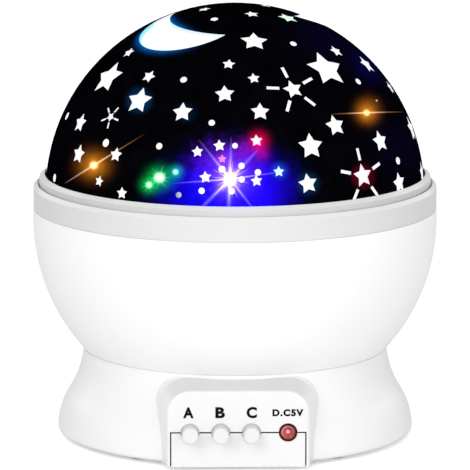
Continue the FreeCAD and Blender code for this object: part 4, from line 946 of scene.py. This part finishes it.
    def window(self, write: NodeWriter, effects: SharedEffects, seen: bpy.types.NodeOutputs,
               flow: Feed) -> bpy.types.NodeSocket:
        """Work out the colour of the light in the windows.

        Args:
            write: Writer of the material's tree.
            effects: The shared node groups.
            seen: Outputs of the dome group.
            flow: Broad noise.

        Returns:
            The colour's socket.
        """
        colour: Feed = write.blend(flow, rgba(WHITE), rgba((0.97, 0.98, 1.0)))
        for tint in self.tints():
            spot = tint.write(write, effects, seen["Flat"])
            colour = write.blend(spot["Share"], colour, rgba(tint.halo_colour))
        inside = effects.crescent.place(write, Direction=seen["Direction"])["Inside"]
        sunk = write.maths("MINIMUM", write.maths("DIVIDE", inside, self.rim_depth), 1.0)
        near = write.maths("MAXIMUM", write.maths("SUBTRACT", 1.0, sunk), 0.0)
        within = write.times(write.maths("GREATER_THAN", inside, -self.rim_walls), near)
        bright = GlowSpot(*self.rim_bright, 1.0, 11.0, DARK, DARK, 3.0).write(write, effects, seen["Flat"])
        lit = write.maths("MULTIPLY_ADD", bright["Share"], 1.0 - self.rim_least, self.rim_least)
        share = write.times(write.maths("MINIMUM", within, 1.0), lit)
        return write.blend(share, colour, rgba(self.moon_rim))

    def total(self, write: NodeWriter, effects: SharedEffects, seen: bpy.types.NodeOutputs,
              fine: Feed) -> bpy.types.NodeSocket:
        """Add up the light that plays on the black mask.

        Args:
            write: Writer of the material's tree.
            effects: The shared node groups.
            seen: Outputs of the dome group.
            fine: Colour noise that frays the cloud.

        Returns:
            The summed colour.
        """
        flat = seen["Flat"]
        off = write.vector("SCALE", write.vector("SUBTRACT", fine, (0.5, 0.5, 0.5)), self.fray)
        frayed = write.vector("ADD", flat, off)
        total: Feed = DARK
        for piece in self.cloud():
            total = write.vector("ADD", total, piece.write(write, effects, frayed)["Colour"])
        for piece in [*self.glows(), *self.rays(), *self.sparks()]:
            total = write.vector("ADD", total, piece.write(write, effects, flat)["Colour"])
        inside = effects.crescent.place(write, Direction=seen["Direction"])["Inside"]
        outer = GlowSpot(*self.moon_outer, 1.0, 10.0, DARK, WHITE, 2.5).write(write, effects, flat)["Share"]
        tip = GlowSpot(*self.moon_tip, 1.0, 5.0, DARK, WHITE, 2.5).write(write, effects, flat)["Share"]
        share = write.times(write.fade(inside, self.moon_width, 1.6), write.maths("MAXIMUM", outer, tip))
        return write.vector("ADD", total, write.vector("SCALE", self.moon_blue, share))


@dataclass(frozen=True)
class MaskFinish(Finish):
    """The black star mask, with the light of the lamps behind it.

    Attributes:
        light: The light that plays on it.
        wall: How squarely a face looks outward where a window's wall starts and is full.
        lowest_window: Height over which a face can be a window's wall.
        speck_least: Least share of the light that the speckle leaves.
        speck: How much of the light the speckle sways.
    """

    name: str = "black_star_mask"
    light: StarLight = StarLight()
    wall: Tuple[float, float] = (0.75, 0.55)
    lowest_window: float = 0.0830
    speck_least: float = 0.55
    speck: float = 0.9

    def in_wall(self, write: NodeWriter, place: Feed, direction: Feed) -> bpy.types.NodeSocket:
        """Tell a window's walls from the mask's own faces.

        Args:
            write: Writer of the material's tree.
            place: The shaded point's place.
            direction: Its direction from the dome's centre.

        Returns:
            1 on a window's walls and 0 elsewhere.
        """
        normal = write.add("ShaderNodeVectorTransform",
                           {0: write.add("ShaderNodeNewGeometry").outputs["True Normal"]},
                           vector_type="NORMAL", convert_from="WORLD", convert_to="OBJECT").outputs[0]
        square = write.maths("ABSOLUTE", write.vector("DOT_PRODUCT", normal, direction))
        high = write.maths("GREATER_THAN", write.split(place)["Z"], self.lowest_window)
        return write.times(write.ramp(square, *self.wall), high)

    def paint(self, write: NodeWriter, effects: SharedEffects) -> Inputs:
        """Work out what feeds the shader.

        Args:
            write: Writer of the material's tree.
            effects: The shared node groups.

        Returns:
            Sockets and values, by the names of the shader's inputs.
        """
        place = write.place()
        seen = effects.dome.place(write, Position=place)
        flow = effects.grain.place(write, Position=place, Grain_Scale=1500.0, Flow_Scale=120.0)["Flow"]
        fine = write.add("ShaderNodeTexNoise", {"Vector": place, "Scale": 330.0, "Detail": 3.0,
                                                "Roughness": 0.6})
        speckle = write.maths("MULTIPLY_ADD", fine.outputs["Fac"], self.speck, self.speck_least)
        glow = write.vector("SCALE", self.light.total(write, effects, seen, fine.outputs["Color"]),
                            write.times(speckle, seen["Front"]))
        window = self.light.window(write, effects, seen, flow)
        return {"Emission Color": write.blend(self.in_wall(write, place, seen["Direction"]), glow, window),
                "Emission Strength": 1.0,
                "Base Color": write.blend(flow, rgba(DARK), rgba((0.002, 0.002, 0.004))),
                "Roughness": write.maths("MULTIPLY_ADD", flow, 0.1, 0.3), "Specular IOR Level": 0.0}


@dataclass(frozen=True)
class LinerFinish(Finish):
    """The milky liner, lit from inside.

    Attributes:
        light: The light that shows in the windows.
        glow: How strongly it shines.
    """

    name: str = "milky_lit_liner"
    light: StarLight = StarLight()
    glow: float = 0.98

    def paint(self, write: NodeWriter, effects: SharedEffects) -> Inputs:
        """Work out what feeds the shader.

        Args:
            write: Writer of the material's tree.
            effects: The shared node groups.

        Returns:
            Sockets and values, by the names of the shader's inputs.
        """
        place = write.place()
        seen = effects.dome.place(write, Position=place)
        flow = effects.grain.place(write, Position=place, Grain_Scale=1500.0, Flow_Scale=60.0)["Flow"]
        return {"Emission Color": self.light.window(write, effects, seen, flow),
                "Emission Strength": self.glow,
                "Base Color": write.blend(flow, rgba((0.10, 0.10, 0.11)), rgba((0.08, 0.08, 0.09))),
                "Roughness": 0.4}


class Finishes:
    """Every finish of the part, made once, and the pieces that wear it."""

    def __init__(self, effects: SharedEffects) -> None:
        """Make the materials.

        Args:
            effects: The shared node groups.
        """
        self.white = MouldedPlastic("white_shell_plastic", (0.93, 0.93, 0.93), (0.91, 0.91, 0.915), 0.30,
                                    coat=0.15).material(effects)
        # Buttons: a grey below the panel's white and darkening where they turn away, both painted shade.
        self.button = MouldedPlastic("button_plastic", (0.76, 0.76, 0.76), (0.74, 0.74, 0.74), 0.38,
                                     edge=0.85, bend=1.5).material(effects)
        # The collars' grey is painted shade round the buttons.
        self.collar = MouldedPlastic("button_collar_painted_shade", (0.55, 0.55, 0.55), (0.50, 0.50, 0.50),
                                     0.5).material(effects)
        # Foot: the darkening where it turns away is painted shade.
        self.foot = FootPlastic("white_foot_plastic", (0.87, 0.87, 0.87), (0.85, 0.85, 0.855), 0.32,
                                coat=0.10, edge=0.93).material(effects)
        # Band and ring: a painted highlight on upward faces and painted shade where they turn away.
        painted_top_light = (0.76, 0.76, 0.76)
        self.grey = MouldedPlastic("light_grey_band_plastic", (0.70, 0.70, 0.702), (0.685, 0.685, 0.69),
                                   0.26, coat=0.25, painted_top_light=painted_top_light, edge=0.84, bend=2.2).material(effects)
        # The ring's grey, darker than the band's, is painted shade on the same plastic.
        self.ring = MouldedPlastic("light_grey_ring_plastic", (0.60, 0.60, 0.602), (0.585, 0.585, 0.59),
                                   0.26, coat=0.25, painted_top_light=painted_top_light, edge=0.86, bend=1.0).material(effects)
        self.gear = MouldedPlastic("natural_gear_plastic", (0.80, 0.77, 0.68), (0.74, 0.71, 0.61),
                                   0.42).material(effects)
        self.black = MouldedPlastic("black_plastic", (0.010, 0.006, 0.007), (0.018, 0.008, 0.010), 0.4,
                                    gloss=0.15).material(effects)
        # Black for the printed marks, also worn by the strip that paints the tab seam's shadow.
        self.ink_and_seam_shadow = MouldedPlastic("black_print_and_seam_shadow", (0.003, 0.003, 0.003), (0.006, 0.006, 0.006), 0.5,
                                  gloss=0.05).material(effects)
        self.board = MouldedPlastic("board_lacquer", (0.02, 0.16, 0.06), (0.03, 0.22, 0.09), 0.25,
                                    grain=900.0).material(effects)
        self.rubber = MouldedPlastic("foot_rubber", (0.05, 0.05, 0.052), (0.08, 0.08, 0.08), 0.75,
                                     depth=0.00004).material(effects)
        self.lead = MouldedPlastic("lead_cover", (0.70, 0.70, 0.70), (0.62, 0.62, 0.62),
                                   0.5).material(effects)
        self.steel = Metal("plated_steel", (0.62, 0.62, 0.64)).material(effects)
        self.can = Metal("motor_can_steel", (0.55, 0.56, 0.58), 0.35).material(effects)
        self.warm = LitGlass("warm_lamp_resin", (0.9, 0.88, 0.7), (1.0, 0.85, 0.45), 1.6).material(effects)
        self.red = LitGlass("red_lamp_resin", (0.8, 0.1, 0.08), (1.0, 0.05, 0.03)).material(effects)
        self.green = LitGlass("green_lamp_resin", (0.1, 0.7, 0.2), (0.05, 1.0, 0.15)).material(effects)
        self.blue = LitGlass("blue_lamp_resin", (0.1, 0.2, 0.8), (0.05, 0.15, 1.0)).material(effects)
        self.jewel = SocketResin().material(effects)
        self.mask = MaskFinish().material(effects)
        self.liner = LinerFinish().material(effects)

    def wear(self) -> Dict[str, bpy.types.Material]:
        """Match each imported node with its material.

        Returns:
            Materials by node name.
        """
        worn = {}
        for material, nodes in (
                (self.white, "bowl_shell battery_door lamp_deck lamp_post"),
                (self.button, "button_a button_b button_c"),
                (self.foot, "base_shell bottom_cover"),
                (self.grey, "top_collar"), (self.ring, "dome_ring"), (self.gear, "turntable drive_pinion"),
                (self.black, "push_switches switch_plunger_a switch_plunger_b switch_plunger_c dc_socket"),
                (self.board, "lamp_board control_board"), (self.rubber, "rubber_feet"),
                (self.lead, "lamp_lead motor_lead"), (self.can, "gear_motor"),
                (self.steel, "case_screws waist_screws deck_screws post_screws motor_screws door_screws "
                             "motor_shaft battery_contacts socket_pin"),
                (self.warm, "warm_led"), (self.red, "red_led"), (self.green, "green_led"),
                (self.blue, "blue_led"),
                (self.jewel, "socket_insulator"), (self.mask, "star_mask"), (self.liner, "dome_liner")):
            for node in nodes.split():
                worn[node] = material
        return worn

    def dress(self) -> None:
        """Put each node's material on it."""
        worn = self.wear()
        for name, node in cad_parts.items():
            if name not in worn:
                raise ValueError("no finish for " + name)
            node.data.materials.clear()
            node.data.materials.append(worn[name])
            LOG.info("dressed %s in %s", name, worn[name].name)


class Workbench:
    """Edit-mode helpers that several pieces share."""

    smooth_angle: float = math.radians(30.0)

    @staticmethod
    def clear() -> None:
        """Leave edit mode and deselect everything."""
        if bpy.context.object is not None and bpy.context.object.mode != "OBJECT":
            bpy.ops.object.mode_set(mode="OBJECT")
        bpy.ops.object.select_all(action="DESELECT")

    @staticmethod
    def edit_all() -> None:
        """Open the active piece in edit mode with all of it selected."""
        bpy.ops.object.mode_set(mode="EDIT")
        bpy.ops.mesh.select_all(action="SELECT")

    @staticmethod
    def thicken(thick: float) -> None:
        """Extrude the selected faces upward and close the result.

        Args:
            thick: How far they go.
        """
        bpy.ops.mesh.extrude_region_move(TRANSFORM_OT_translate={"value": (0.0, 0.0, thick)})
        bpy.ops.mesh.select_all(action="SELECT")
        bpy.ops.mesh.normals_make_consistent(inside=False)
        bpy.ops.object.mode_set(mode="OBJECT")

    @staticmethod
    def settle(piece: bpy.types.Object, body: str, material: bpy.types.Material,
               slot: str) -> bpy.types.Object:
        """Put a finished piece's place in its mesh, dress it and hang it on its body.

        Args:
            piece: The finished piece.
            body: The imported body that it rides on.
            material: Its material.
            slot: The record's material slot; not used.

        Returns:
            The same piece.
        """
        Workbench.clear()
        piece.select_set(True)
        bpy.context.view_layer.objects.active = piece
        bpy.ops.object.transform_apply(location=True, rotation=True, scale=True)
        piece.data.materials.clear()
        piece.data.materials.append(material)
        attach(piece, body)
        LOG.info("made %s with %d faces", piece.name, len(piece.data.polygons))
        return piece

    @staticmethod
    def annulus(name: str, outer: float, inner: float, thick: float, sides: int) -> bpy.types.Object:
        """Make a flat closed ring that lies on the XY plane.

        Args:
            name: Piece name.
            outer: Outer radius.
            inner: Inner radius.
            thick: Thickness, upward.
            sides: Number of its sides.

        Returns:
            The ring, still without a place.
        """
        Workbench.clear()
        bpy.ops.mesh.primitive_circle_add(vertices=sides, radius=outer, fill_type="NOTHING")
        ring = bpy.context.object
        ring.name = name
        Workbench.edit_all()
        bpy.ops.mesh.extrude_edges_move(TRANSFORM_OT_translate={"value": (0.0, 0.0, 0.0)})
        bpy.ops.transform.resize(value=(inner / outer, inner / outer, 1.0), center_override=(0.0, 0.0, 0.0))
        bpy.ops.mesh.select_all(action="SELECT")
        Workbench.thicken(thick)
        bpy.ops.object.shade_smooth_by_angle(angle=Workbench.smooth_angle)
        return ring


@dataclass(frozen=True)
class PanelMark:
    """A plain printed mark on the panel.

    Attributes:
        name: Piece name.
        words: What it reads.
        middle: Place of its middle across the panel.
        foot: Height of its foot.
        high: Height of its capitals.
        wide: Its whole width.
        weight: How much its strokes are thickened.
        spread: Spacing of its letters.
    """

    name: str
    words: str
    middle: float
    foot: float
    high: float
    wide: float
    weight: float = 0.00022
    spread: float = 1.0


@dataclass(frozen=True)
class PanelMarks:
    """The printed letters over the buttons and the plain voltage mark over the socket.

    Attributes:
        marks: The words and their places.
        proud: Height of the print over the panel.
        capital: Height of the typeface's capitals as a share of its size.
        merge: Distance under which points of a letter are one.
    """

    marks: Tuple[PanelMark, ...] = (
        PanelMark("mark_a", "A", -0.0157, 0.01700, 0.00352, 0.00335),
        PanelMark("mark_b", "B", -0.0057, 0.01700, 0.00352, 0.00300),
        PanelMark("mark_c", "C", 0.00425, 0.01695, 0.00362, 0.00325),
        PanelMark("mark_dc5v", "D.C5V", 0.01565, 0.01752, 0.00228, 0.00975, 0.00017, 1.18))
    proud: float = 0.00004
    capital: float = 0.70
    merge: float = 0.000001

    def build(self, finishes: Finishes) -> None:
        """Make every mark."""
        for mark in self.marks:
            self.one(mark, finishes)

    def one(self, mark: PanelMark, finishes: Finishes) -> bpy.types.Object:
        """Make one mark as a thin raised print.

        Args:
            mark: Its words and place.
            finishes: The part's finishes.

        Returns:
            The finished piece.
        """
        Workbench.clear()
        bpy.ops.object.text_add(location=(0.0, 0.0, 0.0))
        words = bpy.context.object
        words.name = mark.name
        words.data.body = mark.words
        words.data.size = mark.high / self.capital
        words.data.offset = mark.weight
        words.data.space_character = mark.spread
        words.data.extrude = self.proud
        words.data.resolution_u = 6
        bpy.ops.object.convert(target="MESH")
        spots = [v.co for v in words.data.vertices]
        left, right = min(s.x for s in spots), max(s.x for s in spots)
        low, high = min(s.y for s in spots), max(s.y for s in spots)
        Workbench.edit_all()
        bpy.ops.mesh.remove_doubles(threshold=self.merge)
        bpy.ops.transform.translate(value=(-(left + right) / 2.0, -low, 0.0))
        bpy.ops.transform.resize(value=(mark.wide / (right - left), mark.high / (high - low), 1.0),
                                 center_override=(0.0, 0.0, 0.0))
        bpy.ops.object.mode_set(mode="OBJECT")
        words.rotation_euler = (QUARTER_TURN, 0.0, 0.0)
        words.location = (mark.middle, PANEL_FACE - self.proud, mark.foot)
        return Workbench.settle(words, "base", finishes.ink_and_seam_shadow, "black_plastic")


@dataclass(frozen=True)
class PanelTrim:
    """A dark strip in the tab's seam that paints the seam's shadow, and grey collars round the buttons that
    paint the shade round them.

    Attributes:
        buttons: Places of the buttons across the panel, by their letters.
        socket: Place of the socket across the panel.
        hole_reach: How far the seam stops from the middle of a button or the socket.
        seam_side: Distance of the seam's upright runs from the middle.
        seam_height: Height of its level run.
        seam_width: Its width.
        seam_back: How deep the shadow strip lies.
        recess: How far the shadow strip's face lies behind the panel's, under 0 where it stands proud.
        foot: Height of the shadow strip's lower ends.
        collar_outer: Outer radius of a collar.
        collar_inner: Inner radius of a collar.
        collar_deep: Length of a collar.
        collar_recess: How far a collar's face lies behind the panel's.
        collar_sides: Number of a collar's sides.
    """

    buttons: Tuple[Tuple[str, float], ...] = (("a", -0.0152), ("b", -0.0055), ("c", 0.0042))
    socket: float = 0.0157
    hole_reach: float = 0.0030
    seam_side: float = 0.0213
    seam_height: float = 0.0123
    seam_width: float = 0.00040
    seam_back: float = 0.0012
    recess: float = -0.00003
    foot: float = 0.0016
    collar_outer: float = 0.00286
    collar_inner: float = 0.0024
    collar_deep: float = 0.0008
    collar_recess: float = 0.00012
    collar_sides: int = 64

    def build(self, finishes: Finishes) -> None:
        """Make the seam's shadow strip and the three collars."""
        self.seam_shadow_strip(finishes)
        for letter, across in self.buttons:
            self.collar(letter, across, finishes)

    def runs(self) -> List[Tuple[float, float, float, float]]:
        """List the shadow strip's straight runs.

        Returns:
            Left, right, lower and upper side of each.
        """
        half, side = self.seam_width / 2.0, self.seam_side
        low, high = self.seam_height - half, self.seam_height + half
        found = [(-side - half, -side + half, self.foot, high), (side - half, side + half, self.foot, high)]
        start = -side + half
        for across in [across for _, across in self.buttons] + [self.socket]:
            found.append((start, across - self.hole_reach, low, high))
            start = across + self.hole_reach
        found.append((start, side - half, low, high))
        return found

    def bar(self, left: float, right: float, low: float, high: float) -> bpy.types.Object:
        """Make one straight run of the shadow strip.

        Args:
            left: Its left side.
            right: Its right side.
            low: Its lower side.
            high: Its upper side.

        Returns:
            The run, as a piece of its own.
        """
        Workbench.clear()
        bpy.ops.mesh.primitive_plane_add(size=1.0)
        bar = bpy.context.object
        Workbench.edit_all()
        bpy.ops.transform.resize(value=(right - left, high - low, 1.0), center_override=(0.0, 0.0, 0.0))
        Workbench.thicken(self.seam_back)
        bar.rotation_euler = (QUARTER_TURN, 0.0, 0.0)
        bar.location = ((left + right) / 2.0, PANEL_FACE + self.recess + self.seam_back, (low + high) / 2.0)
        return bar

    def seam_shadow_strip(self, finishes: Finishes) -> bpy.types.Object:
        """Make the dark strip in the seam round the lower cover's tab, which paints the seam's shadow.

        Args:
            finishes: The part's finishes.

        Returns:
            The finished piece.
        """
        bars = [self.bar(*run) for run in self.runs()]
        Workbench.clear()
        for bar in bars:
            bar.select_set(True)
        bpy.context.view_layer.objects.active = bars[0]
        bpy.ops.object.join()
        seam_shadow_strip = bpy.context.object
        seam_shadow_strip.name = "tab_seam_shadow_strip"
        return Workbench.settle(seam_shadow_strip, "base", finishes.ink_and_seam_shadow, "rubber")

    def collar(self, letter: str, across: float, finishes: Finishes) -> bpy.types.Object:
        """Make the thin collar behind the panel's face round one button, in a grey that paints the shade
        round it.

        Args:
            letter: The button's letter.
            across: The button's place across the panel.
            finishes: The part's finishes.

        Returns:
            The finished piece.
        """
        collar = Workbench.annulus("button_collar_" + letter, self.collar_outer, self.collar_inner,
                                   self.collar_deep, self.collar_sides)
        collar.rotation_euler = (QUARTER_TURN, 0.0, 0.0)
        collar.location = (across, PANEL_FACE + self.collar_recess + self.collar_deep, self.seam_height)
        return Workbench.settle(collar, "push_" + letter, finishes.collar, "white_shell")


@dataclass(frozen=True)
class SealRing:
    """A thin seal that lies in the open seam between two shells.

    Attributes:
        name: Piece name.
        outer: Outer radius.
        inner: Inner radius.
        low: Height of its underside.
        high: Height of its upper side.
        sides: Number of its sides.
    """

    name: str
    outer: float
    inner: float
    low: float
    high: float
    sides: int = 256

    def build(self, material: bpy.types.Material, slot: str) -> bpy.types.Object:
        """Make the seal.

        Args:
            material: Its material.
            slot: The record's material slot.

        Returns:
            The finished piece.
        """
        thick = self.high - self.low
        ring = Workbench.annulus(self.name, self.outer, self.inner, thick, self.sides)
        ring.location = (0.0, 0.0, self.low)
        return Workbench.settle(ring, "base", material, slot)


@dataclass(frozen=True)
class SeamSeals:
    """The thin seals in the two open seams between the shells.

    Attributes:
        dust: The seal under the dome's ring.
        waist: The seal between the bowl and the foot.
    """

    dust: SealRing = SealRing("dust_seal", 0.06369, 0.06336, 0.0809, 0.0815)
    waist: SealRing = SealRing("waist_seal", 0.04875, 0.04760, 0.02843, 0.02867)

    def build(self, finishes: Finishes) -> None:
        """Make both seals."""
        self.dust.build(finishes.ring, "grey_band")
        self.waist.build(finishes.white, "white_shell")


@dataclass(frozen=True)
class Softbox:
    """A square soft lamp that is aimed at the part.

    Attributes:
        name: The lamp's name.
        place: Where it hangs.
        size: Side of its square face.
        power: Watts.
    """

    name: str
    place: Tuple[float, float, float]
    size: float
    power: float

    def build(self, aim: Vector) -> None:
        """Hang the lamp.

        Args:
            aim: What its face looks at.
        """
        light = bpy.data.lights.new(self.name, "AREA")
        light.size = self.size
        light.energy = self.power
        holder = bpy.data.objects.new(self.name, light)
        bpy.context.collection.objects.link(holder)
        holder.location = self.place
        holder.rotation_mode = "QUATERNION"
        holder.rotation_quaternion = (aim - Vector(self.place)).to_track_quat("-Z", "Y")
        LOG.info("hung %s at %g watts", self.name, self.power)


@dataclass(frozen=True)
class Studio:
    """Pale floor, white surround, soft lamps and the camera.

    Attributes:
        softboxes: The lamps.
        aim: What the lamps and the camera look at.
        camera_away: The camera's distance from it.
        camera_turn: Degrees that the camera stands to the right of the front.
        span: Width of what the camera sees there.
        film: Width of the camera's film, in millimetres.
        sky_light: Strength of the surround as a light.
        sky_gloss: Strength of the surround in reflections.
        floor_reach: Radius of the floor.
        floor_light: How strongly the floor shines to the camera by itself.
    """

    softboxes: Tuple[Softbox, ...] = (
        Softbox("key_softbox", (-0.75, -1.5, 1.05), 1.1, 10.5),
        Softbox("fill_softbox", (0.95, -1.5, 0.65), 1.1, 6.5),
        Softbox("rear_left_softbox", (-1.2, 1.3, 0.8), 1.1, 2.5),
        Softbox("rear_right_softbox", (1.2, 1.3, 0.8), 1.1, 2.5),
        Softbox("low_softbox", (0.0, -1.7, 0.12), 0.9, 7.0))
    aim: Tuple[float, float, float] = (0.0, 0.0, 0.0645)
    camera_away: float = 1.938
    camera_turn: float = -1.0
    span: float = 0.1518
    film: float = 36.0
    sky_light: float = 0.62
    sky_gloss: float = 0.8
    floor_reach: float = 4.0
    floor_light: float = 0.42

    def build(self) -> None:
        """Make the whole studio."""
        self.world()
        self.floor()
        for softbox in self.softboxes:
            softbox.build(Vector(self.aim))
        self.camera()

    @staticmethod
    def seen_straight(write: NodeWriter) -> bpy.types.NodeSocket:
        """Tell what the camera sees, also through clear pieces, from what lamps and reflections see."""
        path = write.add("ShaderNodeLightPath").outputs
        return write.maths("MAXIMUM", path["Is Camera Ray"], path["Is Transmission Ray"])

    def world(self) -> None:
        """Make the surround white for the camera, lower in reflections and lower still as a light."""
        world = bpy.data.worlds.new("white_surround")
        bpy.context.scene.world = world
        world.use_nodes = True
        world.node_tree.nodes.clear()
        write = NodeWriter(world.node_tree)
        lit, glossy, shown = [
            write.add("ShaderNodeBackground", {"Color": rgba(WHITE), "Strength": strength}).outputs[0]
            for strength in (self.sky_light, self.sky_gloss, 1.0)]
        mirrored = write.add("ShaderNodeLightPath").outputs["Is Glossy Ray"]
        first = write.add("ShaderNodeMixShader", {0: mirrored, 1: lit, 2: glossy}).outputs[0]
        both = write.add("ShaderNodeMixShader", {0: self.seen_straight(write), 1: first, 2: shown})
        write.add("ShaderNodeOutputWorld", {"Surface": both.outputs[0]})

    def floor(self) -> None:
        """Lay a broad pale floor that keeps the lamp's soft shadow."""
        Workbench.clear()
        bpy.ops.mesh.primitive_circle_add(vertices=96, radius=self.floor_reach, fill_type="NGON",
                                          location=(0.0, 0.0, 0.0))
        floor = bpy.context.object
        floor.name = "pale_floor"
        made, write, surface = new_material("pale_floor_paint")
        grain = write.add("ShaderNodeTexNoise", {"Vector": write.place(), "Scale": 14.0, "Detail": 2.0})
        pale, shade = rgba((0.93, 0.93, 0.93)), rgba((0.91, 0.91, 0.915))
        write.fill(surface, {
            "Base Color": write.blend(grain.outputs["Fac"], pale, shade),
            "Roughness": 0.9, "Specular IOR Level": 0.0, "Emission Color": rgba(WHITE),
            "Emission Strength": write.times(self.seen_straight(write), self.floor_light)})
        floor.data.materials.append(made)

    def camera(self) -> None:
        """Stand the camera where the photograph was taken from."""
        back = heading(self.camera_turn, VIEW_RISE)
        camera = bpy.data.cameras.new("view")
        camera.sensor_width = self.film
        camera.lens = self.film * self.camera_away / self.span
        camera.clip_start, camera.clip_end = 0.05, 20.0
        holder = bpy.data.objects.new("view", camera)
        bpy.context.collection.objects.link(holder)
        holder.location = Vector(self.aim) + back * self.camera_away
        holder.rotation_mode = "QUATERNION"
        holder.rotation_quaternion = (-back).to_track_quat("-Z", "Y")
        bpy.context.scene.camera = holder


def main() -> None:
    """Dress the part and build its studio."""
    logging.basicConfig(level=logging.INFO, format="%(name)s: %(message)s")
    finishes = Finishes(SharedEffects())
    finishes.dress()
    PanelMarks().build(finishes)
    PanelTrim().build(finishes)
    SeamSeals().build(finishes)
    Studio().build()
    bpy.context.scene.view_settings.view_transform = "Standard"


if __name__ == "__main__":
    main()
